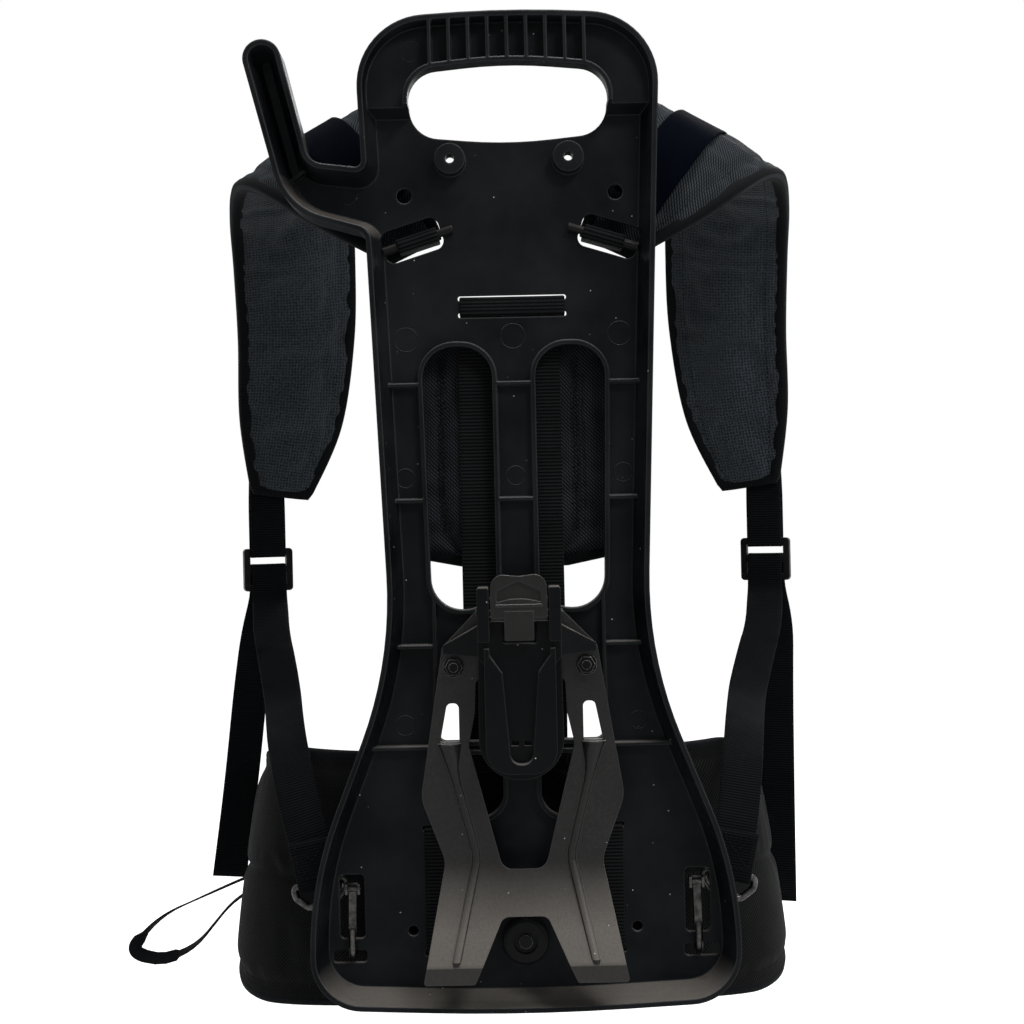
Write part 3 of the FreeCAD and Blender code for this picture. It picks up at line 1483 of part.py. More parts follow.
def make_hook_gates():
    """Sprung gate from its pivot down to the inner side of the hook's nose."""
    pivot = gate_pivot()
    nose = -level(FLOOR) - 3.1
    tip = -size("corner_bar_top") + 4.8
    path = [(pivot.y, pivot.z - size("gate_pin") - 0.5, 0.0),
            (nose + size("gate_sheet") / 2 + 0.3, tip, 0.0)]
    leaf = side_slab(strip_corners(path, size("gate_sheet")), size("gate_width") - 1.0,
                     Vector(pivot.x, 0, 0))
    barrel = cross_rod(pivot, size("gate_barrel"), size("gate_width"))
    bore = cross_rod(pivot, size("gate_pin") + size("pin_clearance"), 2 * size("gate_width"))
    both_hands("hook_gate", leaf.fuse(barrel).cut(bore))


# Waist strap and its side-release buckle

def buckle_middle():
    return Vector(0, size("buckle_ahead"), -size("buckle_drop"))


def front_prism(corners, near, far):
    """Solid of an outline about the buckle's middle, between two Y offsets."""
    face = outline_face(corners)
    face.Placement = Placement(buckle_middle() + Vector(0, far, 0), Rotation(Vector(1, 0, 0), 90))
    return face.extrude(Vector(0, near - far, 0))


def make_waist_webbing():
    """Webbing from each end of the belt through the buckle's slot, folded back on itself."""
    fold = size("webbing") / 2 + 0.2
    middle = buckle_middle()
    slots = {-1: size("buckle_length") - 4.0, 1: size("male_length") - 4.5}
    bar_gap = size("buckle_bar")
    for side, label in sides("waist_webbing"):
        x = slots[side]
        end = belt_place(math.radians(side * 150), size("buckle_drop"), 0.5)
        reach = side * end.x
        up = Vector(0, 0, 1)
        near = bar_gap / 2 + fold
        spots = [(x + 30.0, middle.y + near), (x + 0.6, middle.y + near),
                 (x - 1.0, middle.y + near - 1.4), (x - 1.0, middle.y - near + 1.4),
                 (x + 0.6, middle.y - near), (x + 24.0, middle.y - near - 1.0),
                 (reach - 8.0, end.y + 9.0), (reach - 1.0, end.y + 1.5)]
        stations = [(Vector(side * px, py, middle.z), up) for px, py in spots]
        feature(label, strap_shape(stations, size("waist_width"), size("webbing")))


def about_buckle(corners):
    """Outline corners given from the buckle's middle, moved to where it sits."""
    return [(x, z - size("buckle_drop"), radius) for x, z, radius in corners]


def make_buckle_female():
    """Socket of the buckle, with a window on each edge and a bar for the webbing."""
    body = new_body("buckle_socket")
    length, half = size("buckle_length"), size("buckle_half")
    shell = about_buckle(rectangle(-length / 2, 0.0, length, 2 * half, 7.0))
    pad(body, face_sketch(body, "shell", BUCKLE_FRONT, [shell]), "buckle_thickness")
    mouth, seat = 1.0, -length + 8.0
    near, far = -size("window_near"), -size("window_far")
    inner, past = half - 6.0, half + 1.0
    upper = [(mouth, inner, 0.0), (near, inner, 0.0), (near, past, 0.0), (far, past, 0.0),
             (far, inner, 0.0), (seat, inner, 1.5)]
    hollow = about_buckle(upper + [(x, -z, radius) for x, z, radius in reversed(upper)])
    pocket(body, face_sketch(body, "hollow", BUCKLE_BACK + " - buckle_wall", [hollow]),
           "buckle_thickness - 2 * buckle_wall")
    slot = about_buckle(rectangle(-length + 4.8, 0.0, 4.0, size("waist_width") + 2.0, 1.5))
    pocket(body, face_sketch(body, "slot", BUCKLE_BACK, [slot]))
    bar = about_buckle(rectangle(-length, 0.0, 2 * 2.8, size("waist_width") + 2.0))
    thin = "buckle_thickness / 2 - buckle_bar / 2"
    pocket(body, face_sketch(body, "bar_back", BUCKLE_BACK, [bar]), thin)
    pocket(body, face_sketch(body, "bar_front", BUCKLE_FRONT, [bar]), thin, True)


def make_buckle_male():
    """Plug of the buckle with its middle tongue; the prongs are pieces of their own."""
    body = new_body("buckle_plug")
    length, half = size("male_length"), size("buckle_half") - 2.0
    base = about_buckle([(1.0, half - 3.0, 1.0), (6.0, half, 3.0), (length, half, 5.0),
                         (length, -half, 5.0), (6.0, -half, 3.0), (1.0, -half + 3.0, 1.0)])
    pad(body, face_sketch(body, "base", PLUG_FRONT, [base]), "plug_thickness")
    tongue = about_buckle(rectangle(-14.0, 0.0, 31.0, 8.0, 2.0))
    pad(body, face_sketch(body, "tongue", PLUG_FRONT + " + webbing / 2", [tongue]),
        "plug_thickness - webbing")
    slot = about_buckle(rectangle(length - 5.3, 0.0, 4.0, size("waist_width") + 2.0, 1.5))
    pocket(body, face_sketch(body, "slot", PLUG_FRONT, [slot]))
    bar = about_buckle(rectangle(length, 0.0, 2 * 3.3, size("waist_width") + 2.0))
    thin = "plug_thickness / 2 - buckle_bar / 2"
    pocket(body, face_sketch(body, "bar_front", PLUG_FRONT, [bar]), thin, True)
    pocket(body, face_sketch(body, "bar_back", PLUG_BACK, [bar]), thin)


def make_buckle_prongs():
    """Springy side prongs whose buttons stand in the socket's windows."""
    root, tip = 0.7, -size("prong_reach")
    inner, width = size("prong_rise") - size("prong_width") / 2, size("prong_width")
    button = size("buckle_half") - 3.0
    near = -size("window_near") - 2.0
    upper = [(root, inner, 2.9), (root, inner + width, 2.9), (near + 1.5, inner + width, 2.0),
             (near, button, 1.0), (tip + 6.0, button, 4.0), (tip, inner + width, 2.0),
             (tip, inner + 2.0, 1.8), (tip + 11.0, inner + 1.0, 10.0)]
    reach = size("plug_thickness") / 2 - 1.6
    for label, sign in (("buckle_prong_upper", 1), ("buckle_prong_lower", -1)):
        corners = [(x, sign * z, radius) for x, z, radius in upper]
        feature(label, front_prism(corners, -reach, reach))


def make_pull_loop():
    """Narrow loop on the left edge of the belt."""
    start = -size("belt_bottom_half") - size("belt_shift") - 0.5
    y, z = size("belt_depth") * 0.8, -size("pull_drop")
    path = [(start, z + 4.0, 0.0), (start - 10.0, z, 20.0), (start - 62.0, z - 22.0, 40.0),
            (start - 86.0, z - 48.0, 7.0), (start - 62.0, z - 56.0, 8.0),
            (start - 36.0, z - 46.0, 40.0), (start - 9.0, z - 14.0, 15.0),
            (start, z - 8.0, 0.0)]
    half = size("pull_width") / 2
    feature("pull_loop", prism(strip_corners(path, size("webbing") / 1.5), -y - half, -y + half))


make_back_plate()
make_support_bracket()
make_dock_cradle()
make_latch_lever()
make_latch_pin()
make_latch_spring()
make_fasteners()
make_buffer()
make_strap_rods()
make_upper_loops()
make_centre_band()
make_height_webbing()
make_back_pad()
make_shoulder_pads()
make_load_lifters()
make_ladder_locks()
make_lock_loops()
make_adjuster_straps()
make_strap_hooks()
make_hook_gates()
make_hip_belt()
make_belt_anchors()
make_waist_webbing()
make_buckle_female()
make_buckle_male()
make_buckle_prongs()
make_pull_loop()
doc.recompute()

for item in doc.Objects:
    if "Invalid" in item.State or "Error" in item.State:
        raise RuntimeError("%s could not be built" % item.Name)
for label, piece in nodes.items():
    if piece.Shape.isNull() or not piece.Shape.isValid():
        raise RuntimeError("%s has no valid shape" % label)

os.makedirs("parts", exist_ok=True)
for label, piece in nodes.items():
    piece.Shape.exportStep("parts/%s.step" % label)
    box = piece.Shape.BoundBox
    print("%-26s %9.0f mm3, z %6.1f to %6.1f" % (label, piece.Shape.Volume, box.ZMin, box.ZMax))
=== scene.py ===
import json
import math

import bpy
from mathutils import Matrix, Vector


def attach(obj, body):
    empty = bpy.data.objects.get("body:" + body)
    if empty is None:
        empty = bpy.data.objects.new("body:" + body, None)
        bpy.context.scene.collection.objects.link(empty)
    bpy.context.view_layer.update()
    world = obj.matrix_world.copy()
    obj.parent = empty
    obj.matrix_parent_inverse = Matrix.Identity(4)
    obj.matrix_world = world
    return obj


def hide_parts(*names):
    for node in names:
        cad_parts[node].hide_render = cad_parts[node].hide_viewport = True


# Carrying frame of a backpack blower. Lengths in the tables below are millimetres, as in the
# part's source, and meshes are written in metres. +Z is up, the machine side faces -Y, and the
# back pad rests against the back plane at Y = 0.

MM = 0.001
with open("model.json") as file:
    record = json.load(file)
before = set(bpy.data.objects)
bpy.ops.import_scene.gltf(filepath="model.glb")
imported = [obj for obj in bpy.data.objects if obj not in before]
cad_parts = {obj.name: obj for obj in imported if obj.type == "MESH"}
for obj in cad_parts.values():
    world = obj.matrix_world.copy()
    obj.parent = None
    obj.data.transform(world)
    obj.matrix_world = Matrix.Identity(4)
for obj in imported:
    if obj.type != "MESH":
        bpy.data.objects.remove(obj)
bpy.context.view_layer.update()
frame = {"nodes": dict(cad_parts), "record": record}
WHITE = (1.0, 1.0, 1.0, 1.0)
HANDS = ((-1, "left"), (1, "right"))


def mm(x, y, z):
    return Vector((x, y, z))


def flipped(values, side):
    """Place or direction on the right, or its mirror image on the left."""
    return mm(side * values[0], values[1], values[2])


# Camera, floor and light

def make_camera():
    """Camera that faces the plate's open tray, rolled by the frame's small lean."""
    data = bpy.data.cameras.new("camera")
    data.lens = 60.8
    data.sensor_width = 36.0
    camera = bpy.data.objects.new("camera", data)
    bpy.context.scene.collection.objects.link(camera)
    roll = Matrix.Rotation(math.radians(1.25), 4, "Y")
    level = Matrix.Rotation(math.radians(90.0), 4, "X")
    camera.matrix_world = Matrix.Translation((-0.003, -1.183, 0.0)) @ roll @ level
    bpy.context.scene.camera = camera


def seen_directly(owner):
    """1 for rays from the eye, also through a mirror or glass."""
    path = add_node(owner, "ShaderNodeLightPath")
    seen = path.outputs["Is Camera Ray"]
    for label in ("Is Glossy Ray", "Is Transmission Ray"):
        seen = blended(owner, seen, path.outputs[label], "MAXIMUM")
    return seen


def make_world():
    """White to the eye, and a dim even light on the object."""
    world = bpy.data.worlds.new("studio")
    world.use_nodes = True
    dim = world.node_tree.nodes["Background"]
    dim.inputs["Color"].default_value = WHITE
    dim.inputs["Strength"].default_value = 0.27
    white = add_node(world, "ShaderNodeBackground", Color=WHITE, Strength=1.0)
    mix = add_node(world, "ShaderNodeMixShader", Fac=seen_directly(world))
    link(world, dim.outputs[0], mix.inputs[1])
    link(world, white.outputs[0], mix.inputs[2])
    link(world, mix.outputs[0], world.node_tree.nodes["World Output"].inputs["Surface"])
    bpy.context.scene.world = world


def make_floor():
    """Pale floor below the hanging frame; it stays white to the eye and keeps its shadows."""
    half, drop = 9.0, -0.62
    mesh = bpy.data.meshes.new("floor")
    mesh.from_pydata([(-half, -half, drop), (half, -half, drop), (half, half, drop),
                      (-half, half, drop)], [], [(0, 1, 2, 3)])
    floor = bpy.data.objects.new("floor", mesh)
    bpy.context.scene.collection.objects.link(floor)
    material = bpy.data.materials.new("floor")
    material.use_nodes = True
    tree = material.node_tree
    tree.nodes.remove(tree.nodes["Principled BSDF"])
    paper = add_node(material, "ShaderNodeBsdfDiffuse", Color=(0.8, 0.8, 0.8, 1.0))
    place = add_node(material, "ShaderNodeNewGeometry").outputs["Position"]
    reach = add_node(material, "ShaderNodeVectorMath", operation="LENGTH")
    link(material, place, reach.inputs[0])
    near, far = 0.8, 1.8
    rise = spread(material, reach.outputs["Value"], 0.3, 0.85, near, far)
    share = blended(material, seen_directly(material), rise)
    glow = add_node(material, "ShaderNodeEmission", Color=WHITE, Strength=share)
    both = add_node(material, "ShaderNodeAddShader")
    link(material, paper.outputs[0], both.inputs[0])
    link(material, glow.outputs[0], both.inputs[1])
    link(material, both.outputs[0], tree.nodes["Material Output"].inputs["Surface"])
    mesh.materials.append(material)


def make_lamp(name, place, target, size, power):
    data = bpy.data.lights.new(name, "AREA")
    data.shape = "RECTANGLE"
    data.size, data.size_y = size
    data.energy = power
    lamp = bpy.data.objects.new(name, data)
    bpy.context.scene.collection.objects.link(lamp)
    lamp.location = place
    aim = (Vector(target) - Vector(place)).to_track_quat("-Z", "Y")
    lamp.rotation_mode = "QUATERNION"
    lamp.rotation_quaternion = aim


def make_lamps():
    middle = (0.0, 0.0, 0.0)
    make_lamp("overhead", (0.1, -0.4, 2.1), middle, (0.8, 0.6), 44.0)
    make_lamp("key", (0.8, -1.4, 1.5), middle, (0.5, 0.4), 22.0)
    make_lamp("side", (1.9, -0.9, 0.6), middle, (0.3, 1.0), 9.0)
    make_lamp("front", (0.8, 2.0, 1.1), (0.0, 0.2, 0.0), (0.9, 0.9), 18.0)


# Materials

MATERIALS = {}


def principled(name, colour, roughness, **sockets):
    """New material with one Principled shader; sockets are named by their own names."""
    material = MATERIALS[name] = bpy.data.materials.new(name)
    material.use_nodes = True
    shader = material.node_tree.nodes["Principled BSDF"]
    shader.inputs["Base Color"].default_value = (*colour, 1.0)
    shader.inputs["Roughness"].default_value = roughness
    for label, value in sockets.items():
        shader.inputs[label.replace("_", " ")].default_value = value
    return material


def add_node(owner, kind, **values):
    """New node; values are its settings, or what its sockets hold or are linked to."""
    node = owner.node_tree.nodes.new(kind)
    for label, value in values.items():
        socket = label.replace("_", " ")
        if hasattr(node, label):
            setattr(node, label, value)
        elif isinstance(value, bpy.types.NodeSocket):
            link(owner, value, node.inputs[socket])
        else:
            node.inputs[socket].default_value = value
    return node


def link(owner, start, end):
    owner.node_tree.links.new(start, end)


def feed(material, value, socket):
    """Link a pattern to a socket of the material's shader."""
    link(material, value, material.node_tree.nodes["Principled BSDF"].inputs[socket])


def body_coordinates(material):
    return add_node(material, "ShaderNodeTexCoord").outputs["Object"]


def cloth_coordinates(material):
    return add_node(material, "ShaderNodeUVMap", uv_map="cloth").outputs["UV"]


def noise(material, scale, detail):
    """Cloudy pattern that is fixed to the body."""
    return add_node(material, "ShaderNodeTexNoise", Vector=body_coordinates(material),
                    Scale=scale, Detail=detail).outputs["Fac"]


def spread(material, value, low, high, start=0.3, end=0.7):
    """Map a pattern to a range of numbers."""
    node = add_node(material, "ShaderNodeMapRange", clamp=True, Value=value, From_Min=start,
                    From_Max=end, To_Min=low, To_Max=high)
    return node.outputs["Result"]


def tint(material, value, dark, light, start=0.3, end=0.7):
    """Colour between dark and light by a pattern."""
    ramp = add_node(material, "ShaderNodeValToRGB", Fac=value)
    for element, place, colour in zip(ramp.color_ramp.elements, (start, end), (dark, light)):
        element.position = place
        element.color = (*colour, 1.0)
    return ramp.outputs["Color"]


def blended(material, first, second, kind="MULTIPLY"):
    node = add_node(material, "ShaderNodeMath", operation=kind)
    link(material, first, node.inputs[0])
    link(material, second, node.inputs[1])
    return node.outputs[0]


def wave(material, place, period, across=False, diagonal=False):
    """Even ridges; period is their pitch in metres."""
    node = add_node(material, "ShaderNodeTexWave", wave_type="BANDS", wave_profile="SIN",
                    Vector=place, Scale=math.pi / (10.0 * period))
    node.bands_direction = "DIAGONAL" if diagonal else ("X" if across else "Y")
    return node.outputs["Fac"]


def raise_by(material, value, depth, strength=1.0, under=None):
    """Bump of a pattern, depth in metres, on top of another bump."""
    node = add_node(material, "ShaderNodeBump", Height=value, Strength=strength, Distance=depth)
    if under is not None:
        link(material, under, node.inputs["Normal"])
    feed(material, node.outputs["Normal"], "Normal")
    return node.outputs["Normal"]


def softened(material, radius):
    """Normal of a hard piece with its edges broken by a radius in metres."""
    return add_node(material, "ShaderNodeBevel", samples=6, Radius=radius).outputs["Normal"]


def edge_share(material, normal):
    """1 on the edges, where the softened normal leaves the flat one, and 0 elsewhere."""
    facing = add_node(material, "ShaderNodeVectorMath", operation="DOT_PRODUCT")
    flat = add_node(material, "ShaderNodeNewGeometry").outputs["True Normal"]
    link(material, flat, facing.inputs[0])
    link(material, normal, facing.inputs[1])
    return spread(material, facing.outputs["Value"], 1.0, 0.0, 0.85, 0.995)


def covered(material, colour, cover, share):
    """Colour with another one over it by a share."""
    mix = add_node(material, "ShaderNodeMixRGB", Fac=share, Color1=colour, Color2=(*cover, 1.0))
    return mix.outputs["Color"]


def part_of(material, vector, axis):
    """One number of a vector."""
    return add_node(material, "ShaderNodeSeparateXYZ", Vector=vector).outputs[axis]


def upward(material):
    """How far a face looks up, from -1 to 1."""
    return part_of(material, add_node(material, "ShaderNodeNewGeometry").outputs["Normal"], "Z")


def dust_and_top_light(material, amount, start, end, heights=None):
    """Share of pale dust on the faces that look up, which also paints the light that falls on
    them from above; heights give where it thins out and is full.
    """
    up = spread(material, upward(material), 0.0, amount, start, end)
    grit = noise(material, 700.0, 4.0)
    up = blended(material, up, spread(material, grit, 0.82, 1.0, 0.35, 0.6))
    if heights:
        high, low = heights
        height = part_of(material, body_coordinates(material), "Z")
        up = blended(material, up, spread(material, height, 1.0, 0.06, low * MM, high * MM))
    return up


def underside(material, amount):
    """Extra roughness of the faces that look down, which no hand or cloth polishes."""
    return spread(material, upward(material), amount, 0.0, -0.95, -0.6)


def specks(material):
    """Scattered grains of dust, at most one in each cell."""
    cell, radius = 0.009, 0.00032
    cells = add_node(material, "ShaderNodeTexVoronoi", feature="F1", Scale=1.0 / cell,
                     Vector=body_coordinates(material))
    reach = radius / cell
    grain = spread(material, cells.outputs["Distance"], 1.0, 0.0, reach, 1.6 * reach)
    chance = part_of(material, cells.outputs["Color"], "X")
    return blended(material, grain, spread(material, chance, 0.0, 0.8, 0.4, 0.9))


def worn(material, colour, rough, normal, edge_highlight, dust_and_light):
    """Join colour and roughness: edges polished by handling and painted paler as a highlight,
    strongest where they face up; pale dust that also paints the light from above, and grains on
    top.
    """
    edge = edge_share(material, normal)
    light, amount = edge_highlight
    tilt = part_of(material, normal, "Z")
    upper = blended(material, edge, spread(material, tilt, amount, 1.0, 0.1, 0.6))
    # Edges painted paler as a highlight, most where they face up.
    first_layer = covered(material, colour, light, upper)
    # Pale dust on up-facing faces, which also paints the light falling from above.
    dusted_and_lit = covered(material, first_layer, DUST_AND_LIGHT, dust_and_light)
    grainy = covered(material, dusted_and_lit, grey(190), specks(material))
    feed(material, grainy, "Base Color")
    polished = blended(material, rough, spread(material, edge, 1.0, 0.55, 0.0, 1.0))
    dull = blended(material, spread(material, dust_and_light, 0.0, 0.25, 0.0, 1.0),
                   underside(material, 0.5), "ADD")
    feed(material, blended(material, polished, dull, "ADD"), "Roughness")


def moulded(name, dark, light, roughness, specular, dust_and_light=0.85, edge=0.0009):
    """Moulded plastic: spark-eroded grain, flow clouds, dull handling marks, painted highlights
    on the edges, and pale dust that also paints the light from above.
    """
    material = principled(name, dark, roughness, Specular_IOR_Level=specular)
    clouds = noise(material, 22.0, 5.0)
    scuffs = noise(material, 140.0, 6.0)
    mixed = blended(material, clouds, scuffs, "ADD")
    rough = spread(material, mixed, roughness - 0.1, roughness + 0.08, 0.8, 1.2)
    broken = softened(material, edge)
    # Pale edges are a painted highlight; the up-facing dust also paints the light from above.
    worn(material, tint(material, clouds, dark, light), rough, broken, (grey(80), 0.3),
         dust_and_top_light(material, dust_and_light, 0.25, 0.9))
    under = raise_by(material, noise(material, 1500.0, 2.0), 0.00002, under=broken)
    raise_by(material, noise(material, 30.0, 2.0), 0.0003, 0.35, under)


def coated_steel(name, dark, light, roughness):
    """Dark coated sheet steel with a fine orange peel, and pale dust on its feet that also paints
    the light falling on them from above.
    """
    material = principled(name, dark, roughness, Metallic=0.3, Specular_IOR_Level=0.14)
    first_layer = noise(material, 22.0, 4.0)
    peel = noise(material, 500.0, 3.0)
    rough = spread(material, first_layer, roughness - 0.07, roughness + 0.09)
    broken = softened(material, 0.0007)
    plain = tint(material, blended(material, first_layer, peel), dark, light, 0.12, 0.4)
    # Pale edges are a painted highlight; the dust below the bend also paints the light on the
    # up-tilted feet.
    worn(material, plain, rough, broken, (grey(100), 0.35),
         dust_and_top_light(material, 0.9, -0.02, 0.12, (-228.0, -269.0)))
    under = raise_by(material, noise(material, 900.0, 2.0), 0.00003, under=broken)
    raise_by(material, noise(material, 60.0, 1.0), 0.0002, 0.3, under)


def bare_metal(name, dark, light, roughness):
    """Plain steel with faint stains, duller where they lie."""
    material = principled(name, light, roughness, Metallic=1.0)
    stains = noise(material, 260.0, 5.0)
    feed(material, tint(material, stains, dark, light), "Base Color")
    feed(material, spread(material, stains, roughness + 0.12, roughness - 0.06), "Roughness")
    raise_by(material, noise(material, 2400.0, 2.0), 0.00001, under=softened(material, 0.0003))


def oiled_steel(name, colour, light, roughness):
    """Blackened steel under a thin film of oil, with a painted highlight on its edges."""
    material = principled(name, colour, roughness, Specular_IOR_Level=0.06)
    film = noise(material, 420.0, 3.0)
    broken = softened(material, 0.0005)
    # Pale edges: a painted highlight.
    edge_highlight_share = spread(material, edge_share(material, broken), 0.0, 0.6, 0.1, 0.9)
    oiled = tint(material, film, colour, light)
    feed(material, covered(material, oiled, grey(160), edge_highlight_share), "Base Color")
    raise_by(material, film, 0.00001, under=broken)


def rubber(name, colour, light):
    """Matt rubber with a pale bloom."""
    material = principled(name, colour, 0.55, Specular_IOR_Level=0.09)
    bloom = noise(material, 160.0, 5.0)
    feed(material, tint(material, bloom, colour, light), "Base Color")
    raise_by(material, noise(material, 1900.0, 2.0), 0.00004)


def woven(name, dark, light, rib, warp, depth=0.00022, sheen=0.04, diagonal=False,
          specular=0.03):
    """Woven webbing or cloth: ribs across, finer warp along, in cloth coordinates."""
    material = principled(name, dark, 0.78, Specular_IOR_Level=specular, Sheen_Weight=sheen,
                          Sheen_Roughness=0.45, Sheen_Tint=(0.3, 0.3, 0.3, 1.0))
    place = cloth_coordinates(material)
    ribs = wave(material, place, rib, diagonal=diagonal)
    threads = wave(material, place, warp, across=True)
    weave = blended(material, ribs, spread(material, threads, 0.55, 1.0, 0.0, 1.0))
    soil = noise(material, 45.0, 5.0)
    shade = blended(material, weave, spread(material, soil, 0.7, 1.15))
    feed(material, tint(material, shade, dark, light, 0.0, 1.0), "Base Color")
    raise_by(material, weave, depth)


def air_mesh(name, dark, light):
    """Open spacer mesh: round dark holes between swollen yarns."""
    material = principled(name, dark, 0.85, Specular_IOR_Level=0.08, Sheen_Weight=0.1)
    cells = add_node(material, "ShaderNodeTexVoronoi", feature="F1", Scale=420.0,
                     Randomness=0.25, Vector=cloth_coordinates(material))
    yarn = spread(material, cells.outputs["Distance"], 0.0, 1.0, 0.12, 0.5)
    feed(material, tint(material, yarn, dark, light, 0.0, 1.0), "Base Color")
    raise_by(material, yarn, 0.0006)


def grey(level, warm=0.0):
    """Linear grey of an sRGB level, a little warmer or cooler."""
    linear = (level / 255.0 + 0.055) / 1.055
    linear = linear ** 2.4 if level > 10 else level / 255.0 / 12.92
    return (linear * (1.0 + warm), linear, linear * (1.0 - warm))


# Pale dust colour, also used as painted light on faces that look up.
DUST_AND_LIGHT = grey(86, 0.1)


def make_materials():
    moulded("plate_plastic", grey(8, -0.26), grey(25, -0.12), 0.42, 0.045, edge=0.0018)
    coated_steel("bracket_steel", grey(24), grey(34, 0.02), 0.3)
    moulded("cradle_plastic", grey(6, -0.2), grey(11, -0.12), 0.36, 0.05)
    moulded("latch_plastic", grey(17), grey(26, 0.05), 0.26, 0.14)
    oiled_steel("fastener_steel", grey(4), grey(11, 0.04), 0.15)
    bare_metal("spring_steel", grey(90), grey(150), 0.28)
    rubber("buffer_rubber", grey(8, -0.1), grey(13, -0.05))
    moulded("rod_plastic", grey(7), grey(13), 0.4, 0.08, dust_and_light=0.3)
    woven("webbing", grey(2, -0.1), grey(31, -0.06), 0.0023, 0.0011)
    woven("strap_webbing", grey(3, -0.2), grey(22, -0.18), 0.0019, 0.0014)
    woven("lifter_webbing", (0.0001, 0.0003, 0.0009), (0.0005, 0.0017, 0.005), 0.0015, 0.001,
          sheen=0.0, specular=0.01)
    woven("pad_fabric", grey(6, -0.16), grey(50, -0.14), 0.0013, 0.0019, 0.0002,
          diagonal=True)
    air_mesh("pad_mesh", grey(10, -0.2), grey(52, -0.18))
    # Lighter copy of pad_fabric for the shoulder pads: painted light on their up-facing tops.
    woven("shoulder_fabric_lit", grey(7, -0.16), grey(57, -0.14), 0.0013, 0.0019, 0.0002,
          diagonal=True)
    woven("belt_fabric", grey(2, -0.03), grey(31, -0.03), 0.0013, 0.0016, 0.0002,
          diagonal=True)
    woven("binding", grey(5, -0.12), grey(26, -0.12), 0.0012, 0.0009, 0.00015)
    woven("thread", grey(11), grey(30), 0.0008, 0.0008, 0.0001)
    moulded("buckle_plastic", grey(9), grey(17), 0.35, 0.1)
    bare_metal("hook_steel", grey(36), grey(74, 0.03), 0.34)


def coat_cad():
    """Every CAD node takes the procedural material of its slot."""
    for entry in frame["record"]["subparts"]:
        mesh = frame["nodes"][entry["node"]].data
        mesh.materials.clear()
        mesh.materials.append(MATERIALS[entry["material_slot"]])
        for face in mesh.polygons:
            face.material_index = 0


# Meshes

def new_piece(name, points, faces, coordinates, slot, finishes, kinds=None):
    """Mesh piece from millimetre points, with cloth coordinates per point of each face."""
    mesh = bpy.data.meshes.new(name)
    mesh.from_pydata([tuple(point * MM) for point in points], [], faces)
    layer = mesh.uv_layers.new(name="cloth")
    for face in mesh.polygons:
        for corner, vertex in zip(face.loop_indices, face.vertices):
            layer.data[corner].uv = coordinates[vertex]
        face.use_smooth = True
    for label in finishes:
        mesh.materials.append(MATERIALS[label])
    for face, kind in zip(mesh.polygons, kinds or []):
        face.material_index = kind
    mesh.validate()
    piece = bpy.data.objects.new(name, mesh)
    bpy.context.scene.collection.objects.link(piece)
    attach(piece, "frame")
    return piece


def between(first, second, share):
    return first + (second - first) * share


def eased(stations, radii):
    """Samples (place, across) along a path whose corners are rounded."""
    step, least, sharpest = 6.0, 0.02, 12.0
    last = len(stations) - 1
    samples = [stations[0]]
    for i in range(1, last):
        before, here, after = (stations[i + k][0] for k in (-1, 0, 1))
        into, out = here - before, after - here
        turn = into.angle(out, 0.0)
        room = 0.47 * min(into.length, out.length)
        if turn < 0.01 or room < 0.05:
            samples.append(stations[i])
            continue
        reach = room
        if radii and radii[i]:
            reach = min(room, radii[i] * math.tan(turn / 2))
        start = here - into.normalized() * reach
        end = here + out.normalized() * reach
        across_in = between(stations[i][1], stations[i - 1][1], reach / into.length * 0.5)
        across_out = between(stations[i][1], stations[i + 1][1], reach / out.length * 0.5)
        count = max(3, int(math.degrees(turn) / sharpest), int(2 * reach / step))
        for k in range(count + 1):
            t = k / count
            place = start * (1 - t) ** 2 + here * (2 * t * (1 - t)) + end * t ** 2
            samples.append((place, between(across_in, across_out, t)))
    samples.append(stations[-1])
    dense = [samples[0]]
    for place, across in samples[1:]:
        old, old_across = dense[-1]
        gap = (place - old).length
        if gap < least:
            continue
        parts = max(1, int(gap / step))
        for k in range(1, parts + 1):
            dense.append((between(old, place, k / parts), between(old_across, across, k / parts)))
    return dense


def ribbon_frames(samples):
    """(place, along, side, up, length so far) of each sample."""
    frames = []
    length = 0.0
    last = len(samples) - 1
    for i, (place, across) in enumerate(samples):
        along = (samples[min(i + 1, last)][0] - samples[max(i - 1, 0)][0]).normalized()
        side = (across - along * across.dot(along)).normalized()
        if i:
            length += (place - samples[i - 1][0]).length
        frames.append((place, along, side, along.cross(side), length))
    return frames


def ribbon_profile(width, thickness):
    """Closed section of webbing: flat faces and rounded selvedges, slightly thicker edges."""
    columns = 8
    half, low = width / 2, thickness / 2
    flat = half - low
    upper = []
    for k in range(columns + 1):
        u = -flat + 2 * flat * k / columns
        edge = 1.0 + 0.12 * (abs(u) / flat) ** 6
        upper.append((u, low * edge))
    turns = (0.8, math.pi / 2, math.pi - 0.8)
    right = [(flat + low * math.sin(turn), low * math.cos(turn)) for turn in turns]
    lower = [(u, -v) for u, v in reversed(upper)]
    left = [(-u, -v) for u, v in right]
    return upper + right + lower + left


def quads(near, far, count):
    """Faces between two closed rings of points, by the index of their first points."""
    return [(near + k, near + (k + 1) % count, far + (k + 1) % count, far + k)
            for k in range(count)]


def sweep(frames, profile):
    """Points, faces and cloth coordinates of a profile swept along frames."""
    points, faces, coordinates = [], [], []
    count = len(profile)
    for place, along, side, up, length in frames:
        for u, v in profile:
            points.append(place + side * u + up * v)
            coordinates.append((u * MM, length * MM))
    last = len(frames) - 1
    for row in range(last):
        faces += quads(row * count, (row + 1) * count, count)
    faces.append(tuple(reversed(range(count))))
    faces.append(tuple(range(last * count, (last + 1) * count)))
    return points, faces, coordinates


